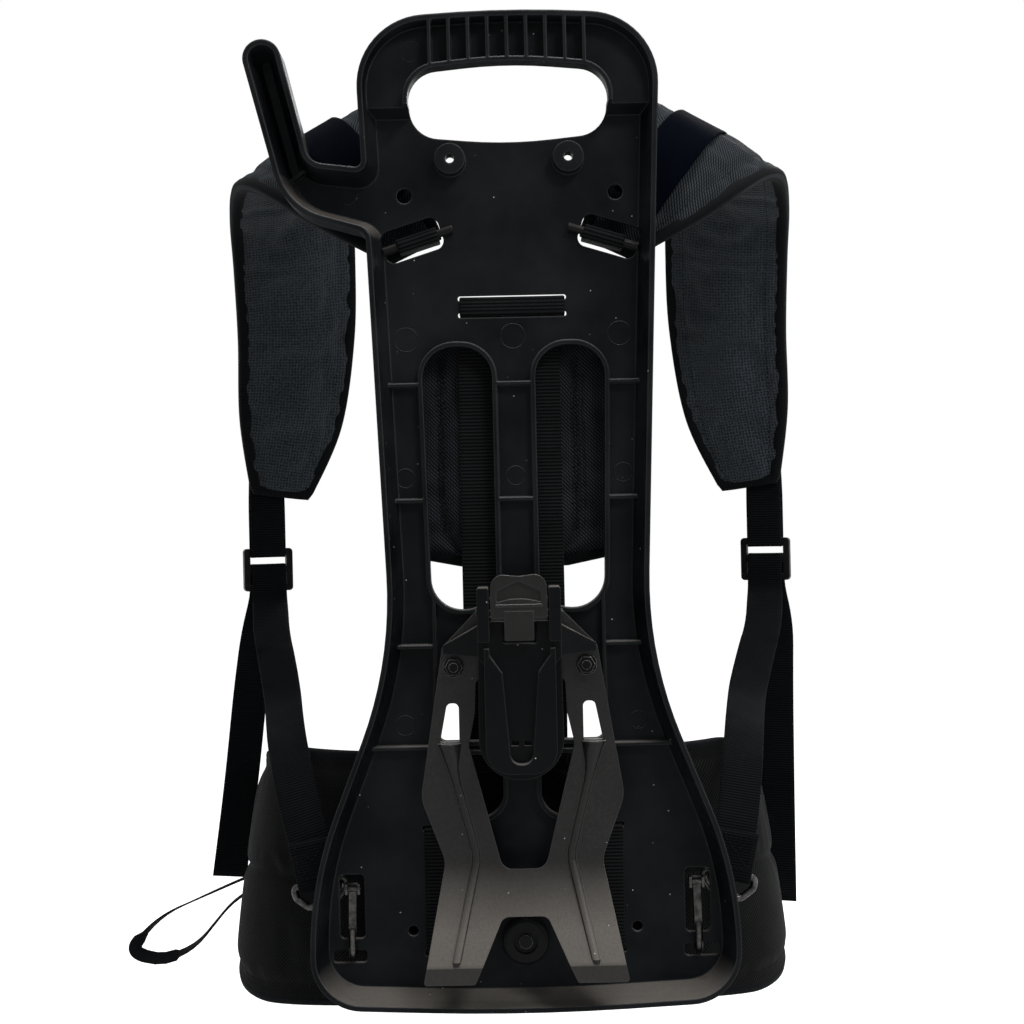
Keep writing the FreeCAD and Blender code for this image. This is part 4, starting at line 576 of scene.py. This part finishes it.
def strap(name, stations, width, thickness, slot, node, radii=None, finish=None):
    """Length of webbing; it stands for its CAD node and returns its frames."""
    frames = ribbon_frames(eased(stations, radii))
    points, faces, coordinates = sweep(frames, ribbon_profile(width, thickness))
    piece = new_piece(name, points, faces, coordinates, slot, [finish or slot])
    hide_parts(node)
    return frames


def frame_at(frames, length):
    """Place, side and up at a distance along frames."""
    for first, second in zip(frames, frames[1:]):
        if second[4] >= length:
            share = (length - first[4]) / max(second[4] - first[4], 1e-6)
            return [between(first[k], second[k], share) for k in range(4)]
    return list(frames[-1][:4])


def stitch_line(spots, pitch):
    """Mesh data of stitches along spots (place, normal)."""
    length, radius = 2.4, 0.32
    points, faces, coordinates = [], [], []
    travelled, due = 0.0, pitch * 0.5
    for (first, normal), (second, next_normal) in zip(spots, spots[1:]):
        gap = (second - first).length
        while due <= travelled + gap:
            share = (due - travelled) / gap
            place = between(first, second, share)
            up = between(normal, next_normal, share).normalized()
            along = (second - first).normalized()
            side = along.cross(up).normalized()
            start = len(points)
            rings = ((-0.5, 0.25, -0.1), (-0.36, 0.9, 0.35), (0.0, 1.0, 0.55), (0.36, 0.9, 0.35),
                     (0.5, 0.25, -0.1))
            for reach, girth, lift in rings:
                centre = place + along * (reach * length) + up * (lift * radius)
                for k in range(6):
                    angle = math.radians(60 * k)
                    points.append(centre + side * (math.cos(angle) * radius * girth)
                                  + up * (math.sin(angle) * radius * girth))
                    coordinates.append((k * radius * MM, (due + reach * length) * MM))
            for ring in range(start, start + 24, 6):
                faces += quads(ring, ring + 6, 6)
            faces.append(tuple(reversed(range(start, start + 6))))
            faces.append(tuple(range(start + 24, start + 30)))
            due += pitch
        travelled += gap
    return points, faces, coordinates


def joined(parts):
    """Several sets of mesh data as one."""
    points, faces, coordinates = [], [], []
    for some_points, some_faces, some_coordinates in parts:
        start = len(points)
        points += some_points
        coordinates += some_coordinates
        faces += [tuple(start + k for k in face) for face in some_faces]
    return points, faces, coordinates


def sew(name, lines, slot="webbing", pitch=3.4):
    """One piece of thread that holds several stitch lines."""
    data = joined([stitch_line(spots, pitch) for spots in lines])
    new_piece(name, *data, slot, ["thread"])


def on_strap(frames, corners, thickness, face):
    """Line on a strap through corners (distance along, distance across), a stitch apart."""
    spots = []
    for (s0, u0), (s1, u1) in zip(corners, corners[1:]):
        steps = max(2, int(math.hypot(s1 - s0, u1 - u0) / 2.0))
        for k in range(steps + 1):
            length = s0 + (s1 - s0) * k / steps
            across = u0 + (u1 - u0) * k / steps
            place, along, side, up = frame_at(frames, length)
            lift = up * (face * thickness / 2)
            spots.append((place + side * across + lift, up * face))
    return spots


def boxed_cross(frames, start, end, half, thickness, face):
    """Sewn box with a cross inside, between two distances along a strap."""
    box = [(start, -half), (end, -half), (end, half), (start, half), (start, -half)]
    return [on_strap(frames, box, thickness, face),
            on_strap(frames, [(start, -half), (end, half)], thickness, face),
            on_strap(frames, [(start, half), (end, -half)], thickness, face)]


# Straps on the plate

WEBBING = 1.8


def turned(point, side_tilt):
    return Matrix.Rotation(math.radians(side_tilt), 3, "Y") @ point


def in_plane(path, x=0.0):
    """Stations in a Y-Z plane with their width along X."""
    stations = [(mm(x, y, z), mm(1, 0, 0)) for y, z, radius in path]
    return stations, [radius for y, z, radius in path]


def make_upper_loops():
    wrap, reach, tilt, inwards = 3.95, 14.7, 17.3, 4.0
    path = [(reach, wrap, 0), (-wrap, wrap, wrap), (-wrap, -wrap, wrap), (reach, -wrap, 0)]
    for side, label in HANDS:
        flat, radii = in_plane(path, -side * inwards)
        centre = mm(side * 65.5, -36.0, 180.0)
        stations = [(turned(place, side * tilt) + centre, turned(across, side * tilt))
                    for place, across in flat]
        strap("upper_loop_webbing_" + label, stations, 28.0, WEBBING, "webbing",
              "upper_loop_" + label, radii)


def make_centre_band():
    path = [(-16.0, 128.5, 0), (-27.0, 142.5, 3.5), (-34.2, 142.5, 2.5), (-34.2, 131.5, 2.5),
            (-26.5, 131.5, 3.0), (-15.0, 124.2, 0)]
    stations, radii = in_plane(path)
    strap("centre_band_webbing", stations, 70.0, WEBBING, "webbing", "centre_band", radii)


def make_height_straps():
    path = [(-27.7, 118.0, 0), (-27.7, -139.0, 30.0), (-13.5, -175.0, 0)]
    for label, x in (("left", -24.5), ("right", 18.5)):
        stations, radii = in_plane(path, x)
        strap("height_strap_" + label, stations, 25.0, WEBBING, "webbing",
              "height_webbing_" + label, radii)


# Hip belt

BELT_ANGLE = 150.0
BELT_SHIFT = 10.0


def signed_power(value, power):
    return math.copysign(abs(value) ** power, value)


def belt_place(turn, drop, lower):
    """Middle of the belt at an angle from the back; lower runs from 0 at the top to 1."""
    squareness = 2.0 / 2.6
    half, depth, centre = 176.0 + lower * 24.0, 138.0 + lower * 7.0, 135.0
    return mm(signed_power(math.sin(turn), squareness) * half - BELT_SHIFT,
              centre - signed_power(math.cos(turn), squareness) * depth, -drop)


def belt_surface(x, height):
    """Y of the belt's outer face on the side of the plate."""
    lower = (-height - 165.0) / 165.0
    turns = [math.radians(i / 4) for i in range(-200, 201)]
    turn = min(turns, key=lambda angle: abs(belt_place(angle, -height, lower).x - x))
    bow = 1.0 - (2.0 * lower - 1.0) ** 2
    return belt_place(turn, -height, lower).y - 4.5 - 2.5 * bow


def belt_frame(degrees):
    """Middle, reach to the lower edge, outward direction, edge and crown of the belt."""
    share = abs(degrees) / BELT_ANGLE
    turn = math.radians(degrees)
    taper = max(0.0, share - 0.35) / 0.65
    top_drop = 165.0 + 50.0 * taper ** 1.3
    low_drop = 330.0 + 15.0 * math.sin(turn) ** 2 - 70.0 * taper ** 1.6
    top, bottom = belt_place(turn, top_drop, 0.0), belt_place(turn, low_drop, 1.0)
    ahead, before = (belt_place(near, top_drop, 0.0) + belt_place(near, low_drop, 1.0)
                     for near in (turn + 0.01, turn - 0.01))
    along = (ahead - before).normalized()
    outward = along.cross(mm(0, 0, 1)).normalized()
    return ((top + bottom) * 0.5, (bottom - top) * 0.5, outward, 9.0 * (1.0 - 0.35 * taper),
            2.5 * (1.0 - 0.4 * taper))


# Cushions

def cushion_ring(middle, reach, outward, edge, crown, columns, relief):
    """Closed section: outer face, far side, inner face, near side, with relief taken off."""
    ring = []
    side = reach.normalized()
    bulge = edge * 0.35
    for face in (1, -1):
        for k in range(columns + 1):
            u = (-1.0 + 2.0 * k / columns) * face
            lift = edge / 2 + crown * (1.0 - u * u) - relief(u)
            ring.append((middle + reach * u + outward * (face * lift), u))
        for share in (0.45, 0.0, -0.45):
            swell = bulge * math.cos(share * math.pi / 2 * 1.6)
            place = middle + (reach + side * swell) * face + outward * (face * share * edge)
            ring.append((place, face * 1.05))
    return ring


def cushion_data(sections, columns, relief):
    """Mesh data of a cushion through sections (middle, reach, outward, edge, crown)."""
    points, coordinates, faces, kinds = [], [], [], []
    length = 0.0
    count = 2 * (columns + 4)
    for row, (middle, reach, outward, edge, crown) in enumerate(sections):
        if row:
            length += (middle - sections[row - 1][0]).length
        ring = cushion_ring(middle, reach, outward, edge, crown, columns,
                            lambda u: relief(u, length))
        for place, u in ring:
            points.append(place)
            coordinates.append((u * reach.length * MM, length * MM))
    for row in range(len(sections) - 1):
        faces += quads(row * count, (row + 1) * count, count)
        kinds += [0] * columns + [2] * 4 + [1] * columns + [2] * 4
    for row in (0, len(sections) - 1):
        base = row * count
        half = columns + 4
        strip = [(base + k, base + k + 1, base + 2 * half - 5 - k, base + 2 * half - 4 - k)
                 for k in range(columns)]
        near = tuple(range(base + columns, base + half + 1))
        far = (*range(base + half + columns, base + count), base)
        caps = [face if row else face[::-1] for face in (*strip, near, far)]
        faces += caps
        kinds += [2] * len(caps)
    return points, faces, coordinates, kinds


def puff(piece, pinned, pressure, cap):
    """Let the covers swell under pressure while pinned seams hold, within a cap in mm."""
    before = [vertex.co.copy() for vertex in piece.data.vertices]
    group = piece.vertex_groups.new(name="sewn")
    for index, weight in pinned:
        group.add([index], weight, "REPLACE")
    cloth = piece.modifiers.new("cloth", "CLOTH")
    settings = cloth.settings
    settings.quality = 4
    settings.mass = 0.25
    settings.tension_stiffness = settings.compression_stiffness = 18.0
    settings.shear_stiffness = 6.0
    settings.bending_stiffness = 0.4
    settings.use_pressure = True
    settings.uniform_pressure_force = pressure
    settings.shrink_min = -0.035
    settings.vertex_group_mass = "sewn"
    settings.effector_weights.gravity = 0.0
    cloth.collision_settings.use_collision = False
    scene = bpy.context.scene
    last = 20
    for number in range(1, last + 1):
        scene.frame_set(number)
    shape = piece.evaluated_get(bpy.context.evaluated_depsgraph_get())
    after = [vertex.co.copy() for vertex in shape.data.vertices]
    piece.modifiers.remove(cloth)
    for vertex, start, end in zip(piece.data.vertices, before, after):
        move = end - start
        if move.length > cap * MM:
            move = move.normalized() * (cap * MM)
        vertex.co = start + move
    piece.data.update()
    scene.frame_set(1)


def make_cushion(name, sections, columns, relief, seams, slot, cover, node,
                 pressure=3.0, cap=3.5):
    """Padded piece whose seams (shares across each face) stay pinned while it swells."""
    points, faces, coordinates, kinds = cushion_data(sections, columns, relief)
    piece = new_piece(name, points, faces, coordinates, slot, [cover, "pad_mesh", cover], kinds)
    count = 2 * (columns + 4)
    pinned = []
    for row in range(len(sections)):
        at_end = row < 2 or row > len(sections) - 3
        for k in range(count):
            column = k if k <= columns else k - columns - 4
            edge = columns < k < columns + 4 or k >= 2 * columns + 5
            u = (-1.0 + 2.0 * column / columns) * (1 if k < columns + 4 else -1)
            sewn = any(abs(u - seam) < 1.01 / columns for seam in seams)
            if edge or at_end or sewn or column in (0, columns):
                pinned.append((row * count + k, 1.0))
    puff(piece, pinned, pressure, cap)
    smooth = piece.modifiers.new("smooth", "SUBSURF")
    smooth.levels = smooth.render_levels = 1
    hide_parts(node)
    return piece, count


def sewn_on_cushion(piece, count, columns, rows, u, face=1):
    """Stitch line along a cushion at a share across its outer or inner face."""
    lift = 0.15
    spots = []
    column = (u * face + 1.0) / 2.0 * columns
    low = min(int(column), columns - 1)
    base = 0 if face > 0 else columns + 4
    for row in rows:
        first, second = (piece.data.vertices[row * count + base + low + k] for k in (0, 1))
        place = between(first.co / MM, second.co / MM, column - low) + first.normal * lift
        spots.append((place, Vector(first.normal)))
    return spots


def zigzag(near, far, turns):
    """Line that goes to and fro between two lines, turns times from spot to spot."""
    spots = []
    for i in range(len(near) - 1):
        for k in range(turns):
            line = (near, far)[(i * turns + k) % 2]
            spots.append(tuple(between(line[i][n], line[i + 1][n], k / turns) for n in (0, 1)))
    return spots


def groove(u, centre, width, depth):
    return depth * math.exp(-((u - centre) / width) ** 2)


def outline_frames(sections, inset):
    """Frames round a cushion's edge: place, along, outward in the sheet, normal, length."""
    edge, other = ([(s[0] + s[1] * (face * (1.0 - inset / s[1].length)), s[2], s[3])
                    for s in sections] for face in (1, -1))
    first, last = sections[0], sections[-1]
    ends = []
    for section, sign in ((last, 1), (first, -1)):
        steps = max(2, int(section[1].length / 4.0))
        shares = [(1.0 - 2.0 * k / steps) * sign for k in range(1, steps)]
        ends.append([(section[0] + section[1] * u, section[2], section[3]) for u in shares])
    loop = edge + ends[0] + other[::-1] + ends[1]
    frames = []
    length = 0.0
    total = len(loop)
    for i, (place, normal, thick) in enumerate(loop):
        along = (loop[(i + 1) % total][0] - loop[i - 1][0]).normalized()
        side = along.cross(normal).normalized()
        if i:
            length += (place - loop[i - 1][0]).length
        frames.append((place, along, side, side.cross(along) * -1, length, thick))
    return frames


def make_binding(name, sections, slot, wide=4.2, proud=0.9):
    """Tape folded over a cushion's edge all the way round."""
    frames = outline_frames(sections, 2.0)
    points, faces, coordinates = [], [], []
    ring = 12
    for place, along, side, up, length, thick in frames:
        for k in range(ring):
            angle = 2 * math.pi * k / ring
            cosine, sine = math.cos(angle), math.sin(angle)
            u = math.copysign(abs(cosine) ** 0.6, cosine) * wide
            v = math.copysign(abs(sine) ** 0.7, sine) * (thick / 2 + proud)
            points.append(place + side * u + up * v)
            coordinates.append((angle * wide * MM, length * MM))
    total = len(frames)
    for row in range(total):
        faces += quads(row * ring, (row + 1) % total * ring, ring)
    new_piece(name, points, faces, coordinates, slot, ["binding"])


def make_hip_belt():
    rows = 170
    sections = [belt_frame(-BELT_ANGLE + 2 * BELT_ANGLE * k / rows) for k in range(rows + 1)]
    columns = 34
    seams = (0.86, -0.88, 0.0)

    def relief(u, length):
        return sum(groove(u, seam, 0.03, depth) for seam, depth in zip(seams, (1.4, 1.2, 0.8)))

    piece, count = make_cushion("hip_belt_cover", sections, columns, relief, seams,
                                "belt_fabric", "belt_fabric", "hip_belt")
    lines = [sewn_on_cushion(piece, count, columns, range(2, rows - 1), u) for u in seams]
    sew("hip_belt_stitching", lines, "belt_fabric", 4.2)
    make_binding("hip_belt_binding", sections, "belt_fabric")


def make_belt_anchors():
    front = -34.3
    for side, label in HANDS:
        x = side * 52.0
        high, low = belt_surface(x, -209.0) - 2.0, belt_surface(x, -292.0) - 2.0
        path = [(high, -209.0, 0), (front, -209.0, 3.0), (front, -292.0, 3.0), (low, -292.0, 0)]
        stations, radii = in_plane(path, x)
        strap("belt_anchor_strap_" + label, stations, 28.0, WEBBING, "webbing",
              "belt_anchor_webbing_" + label, radii)


# Back pad and shoulder pads

def curve_value(knots, t):
    """Smooth value through evenly numbered knots, which may be numbers or vectors."""
    last = len(knots) - 1
    i = min(int(t), last - 1)
    f = t - i
    a, b = knots[max(i - 1, 0)], knots[i]
    c, d = knots[i + 1], knots[min(i + 2, last)]
    return (b * 2 + (c - a) * f + (a * 2 - b * 5 + c * 4 - d) * f ** 2
            + (b * 3 - a - c * 3 + d) * f ** 3) * 0.5


def evenly(sections, step):
    """Sections at about one step apart through a few given ones."""
    dense = []
    for i in range(len(sections) - 1):
        gap = (sections[i + 1][0] - sections[i][0]).length
        parts = max(1, round(gap / step))
        for k in range(parts):
            t = i + k / parts
            values = [curve_value([section[n] for section in sections], t) for n in range(5)]
            values[2] = values[2].normalized()
            dense.append(tuple(values))
    return dense + [sections[-1]]


def make_back_pad():
    top, bottom = 122.0, -31.0
    rows = [(bottom, 0.43, 0.45), (bottom + 5.0, 0.74, 0.7), (bottom + 16.0, 0.93, 0.9),
            (bottom + 42.0, 1.0, 1.0), (top - 60.0, 1.0, 1.0), (top - 18.0, 0.98, 0.95),
            (top - 5.0, 0.87, 0.7), (top, 0.61, 0.45)]
    outward = mm(0, -1, 0)
    sections = [(mm(0, -13.0, z), mm(share * 82.0, 0, 0), outward, 12.0 * full, 5.5 * full)
                for z, share, full in rows]
    sections = evenly(sections, 4.5)
    columns = 36
    seams = (-0.6, 0.5)

    def relief(u, length):
        return sum(groove(u, seam, 0.05, 3.2) for seam in seams)

    piece, count = make_cushion("back_pad_cover", sections, columns, relief, seams,
                                "pad_fabric", "pad_fabric", "back_pad", pressure=4.0,
                                cap=3.0)
    last = len(sections) - 3
    lines = []
    for seam in seams:
        near, far = (sewn_on_cushion(piece, count, columns, range(4, last - 1), seam + offset)
                     for offset in (-0.035, 0.035))
        lines.append(zigzag(near, far, 3))
    lines.append(sewn_on_cushion(piece, count, columns, range(4, last - 4), seams[1] + 0.07))
    sew("back_pad_stitching", lines, "pad_fabric", 3.1)
    make_binding("back_pad_binding", sections, "pad_fabric", wide=6.0, proud=1.1)


SHOULDER_PLACES = [(65.5, -21.5, 180.0), (69.5, -15.5, 186.0), (85, -13.5, 205), (104, -7, 228),
                   (126, 12, 248), (146, 44, 258), (159, 88, 255), (165, 128, 232),
                   (167, 158, 196), (170, 184, 140), (178, 200, 75), (188, 206, 20)]
SHOULDER_TURNS = [(17, 0), (17, 0), (21, 0), (26, 0), (30, 0), (30, 0), (29, 0), (24, -8),
                  (16, -16), (9, -22), (4, -22), (0, -22)]
SHOULDER_WIDTHS = [0.42, 0.45, 0.66, 0.9, 1.0, 1.0, 1.0, 1.0, 1.0, 0.98, 0.86, 0.5]
SHOULDER_FULLNESS = [0.78, 0.8, 0.85, 0.9, 1.0, 1.0, 1.0, 1.0, 1.0, 1.0, 0.9, 0.75]


def shoulder_sections(side):
    """Sections of one shoulder pad from its root on the plate to the chest."""
    places = [mm(*place) for place in SHOULDER_PLACES]
    last = len(places) - 1
    sections = []
    for i, place in enumerate(places):
        roll, yaw = (math.radians(angle) for angle in SHOULDER_TURNS[i])
        across = mm(math.cos(roll) * math.cos(yaw), math.sin(yaw), -math.sin(roll))
        along = (places[min(i + 1, last)] - places[max(i - 1, 0)]).normalized()
        across = (across - along * across.dot(along)).normalized()
        outward = across.cross(along)
        full = SHOULDER_FULLNESS[i]
        reach = across * (46.0 * SHOULDER_WIDTHS[i])
        parts = (flipped(part, side) for part in (place, reach, outward))
        sections.append((*parts, 9.0 * full, 3.0 * full))
    return evenly(sections, 5.0)


def make_shoulder_pads():
    columns = 20
    seams = (0.72, -0.72)
    root, quilting = 60.0, 62.0
    for side, label in HANDS:
        sections = shoulder_sections(side)

        def relief(u, length):
            place = (length % quilting) / quilting
            quilt = groove(place, 0.5, 0.045, 1.7) if length > root else 0.0
            return sum(groove(u, seam, 0.05, 1.5) for seam in seams) + quilt

        # The covers take the lighter copy of the pad fabric, as painted light.
        piece, count = make_cushion("shoulder_pad_cover_" + label, sections, columns, relief,
                                    seams, "pad_fabric", "shoulder_fabric_lit",
                                    "shoulder_pad_" + label)
        rows = range(3, len(sections) - 3)
        lines = [sewn_on_cushion(piece, count, columns, rows, u, face)
                 for u in seams for face in (1, -1)]
        sew("shoulder_pad_stitching_" + label, lines, "pad_fabric", 4.0)
        make_binding("shoulder_pad_binding_" + label, sections, "pad_fabric", wide=4.4)


# Straps over the shoulders and down the sides

def on_side(stations, side):
    """Stations of the right side, or their mirror image on the left."""
    return [(flipped(place, side), flipped(across, side)) for place, across in stations]


LIFTER_LINE = [((84, -25, 206), (1, 0, -0.35)), ((98, -22, 226), (1, 0, -0.4)),
               ((113, -12, 246), (1, 0, -0.5)), ((126, 8, 263), (1, 0, -0.55)),
               ((136, 32, 272), (1, 0, -0.55)), ((143, 60, 276), (1, 0, -0.55)),
               ((148, 86, 275), (1, 0, -0.55))]


def make_load_lifters():
    for side, label in HANDS:
        frames = strap("load_lifter_strap_" + label, on_side(LIFTER_LINE, side), 34.0, WEBBING,
                       "webbing", "load_lifter_" + label, finish="lifter_webbing")
        end = frames[-1][4]
        up = 1 if frames[-1][3].z > 0 else -1
        sew("load_lifter_stitching_" + label,
            boxed_cross(frames, end - 26.0, end - 3.0, 13.5, WEBBING, up))


LOCK_OUT, LOCK_AHEAD, LOCK_DROP = 200.0, 207.0, 42.0
LOCK_TURN = math.radians(22.0)
WRAP = 2.5 + 0.35 + WEBBING / 2


def lock_point(side, proud, up):
    """Place about a lock's middle bar, so far out of its face and so far up."""
    out = mm(side * math.sin(LOCK_TURN), math.cos(LOCK_TURN), 0)
    return mm(side * LOCK_OUT, LOCK_AHEAD, up - LOCK_DROP) + out * proud


def lock_across(side):
    return mm(side * math.cos(LOCK_TURN), -math.sin(LOCK_TURN), 0)


def lock_wrap(side, height, rise, start, end):
    """Stations of webbing over a bar of the lock; rise is 1 over the bar and -1 under it."""
    chamfer = WRAP * 0.75
    spots = [(-WRAP, start), (-WRAP, height + rise * chamfer), (-chamfer, height + rise * WRAP),
             (chamfer, height + rise * WRAP), (WRAP, height + rise * chamfer), (WRAP, end)]
    return [(lock_point(side, proud, up), lock_across(side)) for proud, up in spots]


def make_lock_loops():
    """Loops round the locks' upper bars, sewn into the ends of the shoulder pads."""
    pad_end = 20.0
    tip = LOCK_DROP + pad_end - 3.0
    for side, label in HANDS:
        sewn_in = [(lock_point(side, proud, tip + 11.0), lock_across(side))
                   for proud in (-1.1, 1.1)]
        stations = sewn_in[:1] + lock_wrap(side, 14.5, -1, tip - 6.0, tip - 6.0) + sewn_in[1:]
        strap("lock_loop_strap_" + label, stations, 28.0, WEBBING, "strap_webbing",
              "lock_loop_" + label)


EYE = (138.0, -21.0, -246.0)
EYE_LEAN = 12.0
# Places of the lower run with the turn of its width and its share of the belt's push
OVER_THE_HIP = [((148, -5, -198), (0.98, 0.02, -0.15), 0.4),
                ((152, 8, -176), (0.97, -0.02, -0.18), 0.6),
                ((157, 34, -157), (0.93, -0.06, -0.25), 0.8),
                ((162, 62, -145), (0.9, -0.1, -0.3), 0.8),
                ((168, 94, -134), (0.9, -0.14, -0.3), 0.7),
                ((179, 128, -112), (0.9, -0.2, -0.25), 0.4),
                ((191, 162, -90), (0.92, -0.3, -0.12), 0.1)]
TAIL_RUNS = {
    1: [(209, 217, -95), (208, 219, -150), (207, 217, -225), (206, 213, -318)],
    -1: [(211, 217, -95), (218, 219, -140), (227, 219, -215), (238, 218, -290)],
}


def adjuster_stations(side):
    """Lower webbing from the hook's eye to the lock's middle bar, then the hanging tail."""
    wrap = 2.4 + 0.35 + WEBBING / 2
    bend = wrap * 0.55
    spots = [(0, -wrap, 30.0), (0, -wrap, -bend), (0, -bend, -wrap), (0, bend, -wrap),
             (0, wrap, -bend), (0, wrap, 22.0)]
    push = BELT_SHIFT if side < 0 else 0.0
    level_bar = turned(mm(1, 0, 0), EYE_LEAN)
    run = [(mm(*EYE) + turned(mm(*spot), EYE_LEAN), level_bar) for spot in spots]
    run += [((x + share * push, y, z), across) for (x, y, z), across, share in OVER_THE_HIP]
    stations = on_side(run, side)
    stations.append((lock_point(side, -WRAP - 1.0, -24.0), lock_across(side)))
    stations += lock_wrap(side, 0.0, 1, -12.0, -20.0)
    return stations + [(flipped(place, side), lock_across(side)) for place in TAIL_RUNS[side]]


def make_adjusters():
    for side, label in HANDS:
        frames = strap("adjuster_webbing_" + label, adjuster_stations(side), 28.0, WEBBING,
                       "strap_webbing", "adjuster_strap_" + label)
        outer = 1 if frame_at(frames, 10.0)[3].y < 0 else -1
        sew("adjuster_stitching_" + label,
            boxed_cross(frames, 3.0, 25.0, 11.0, WEBBING, outer), "strap_webbing")


def make_waist_straps():
    middle = mm(0, 284.0, -245.0)
    near = 2.5 + WEBBING / 2 + 0.2
    for side, label, x in ((-1, "left", 42.0), (1, "right", 17.5)):
        end = belt_place(math.radians(side * BELT_ANGLE), 245.0, 0.5)
        reach = side * end.x
        spots = [(x + 30.0, middle.y + near), (x + 0.6, middle.y + near),
                 (x - 1.0, middle.y + near - 1.4), (x - 1.0, middle.y - near + 1.4),
                 (x + 0.6, middle.y - near), (x + 24.0, middle.y - near - 1.0),
                 (reach - 8.0, end.y + 9.0), (reach - 1.0, end.y + 1.5)]
        stations = [(mm(side * px, py, middle.z), mm(0, 0, 1)) for px, py in spots]
        strap("waist_strap_" + label, stations, 48.0, WEBBING, "webbing",
              "waist_webbing_" + label)


def make_pull_loop():
    """Loop of tape that stands on edge at the belt and turns its face out at the far end."""
    start, y, z = -200.5 - BELT_SHIFT, 110.4, -274.0
    path = [(7, 6.8, 0, 0, 0.0), (-10, 0, 0, -1, 0.05), (-62, -22, 0.5, -0.85, 0.15),
            (-86, -48, 1, 0.1, 0.85), (-62, -56, 0, 1, 0.6), (-36, -46, -0.3, 1, 0.1),
            (-9, -14, 0, 1, 0.05), (7, -3.3, 0, 0, 0.0)]
    stations = []
    for out, up, in_x, in_z, share in path:
        across = mm(0, 1, 0) * (1.0 - share) + mm(in_x, 0, in_z) * share
        stations.append((mm(start + out, y, z + up), across.normalized()))
    strap("pull_loop_webbing", stations, 10.0, 1.2, "webbing", "pull_loop", finish="binding")


# Marks on the plate

# X, depth behind the back plane, Z and radius of each mark
EJECTOR_MARKS = [(-108.8, 33, 213.9, 7.3), (-71, 33, 115.9, 7.9), (0, 33, 117.1, 8.2),
                 (71.1, 33, 117.5, 7.9), (-73.2, 33, 23.8, 6.3), (0, 33, 24.3, 6.3),
                 (71.4, 33, 25, 6.3), (-76.9, 33, -140.5, 6.6), (78.1, 33, -139.8, 5.9),
                 (-63.4, 47, 303.7, 6.6)]


def ring_data(centre, radius):
    """Flat ring that stands a little proud of the plate's floor."""
    width, height, parts = 0.5, 0.12, 40
    points, faces, coordinates = [], [], []
    section = [(-width / 2, -0.3), (-width / 2, height), (width / 2, height), (width / 2, -0.3)]
    for i in range(parts):
        angle = 2 * math.pi * i / parts
        for out, rise in section:
            reach = radius + out
            points.append(centre + mm(math.cos(angle) * reach, -rise, math.sin(angle) * reach))
            coordinates.append((angle * radius * MM, out * MM))
        faces += quads((i + 1) % parts * 4, i * 4, 4)
    return points, faces, coordinates


def make_ejector_marks():
    parts = [ring_data(mm(x, -depth, z), radius) for x, depth, z, radius in EJECTOR_MARKS]
    new_piece("ejector_marks", *joined(parts), "plate_plastic", ["plate_plastic"])


make_materials()
make_camera()
make_world()
make_floor()
make_lamps()
coat_cad()
make_upper_loops()
make_centre_band()
make_height_straps()
make_hip_belt()
make_belt_anchors()
make_back_pad()
make_shoulder_pads()
make_load_lifters()
make_lock_loops()
make_adjusters()
make_waist_straps()
make_pull_loop()
make_ejector_marks()

bpy.context.scene.view_settings.view_transform = "Standard"
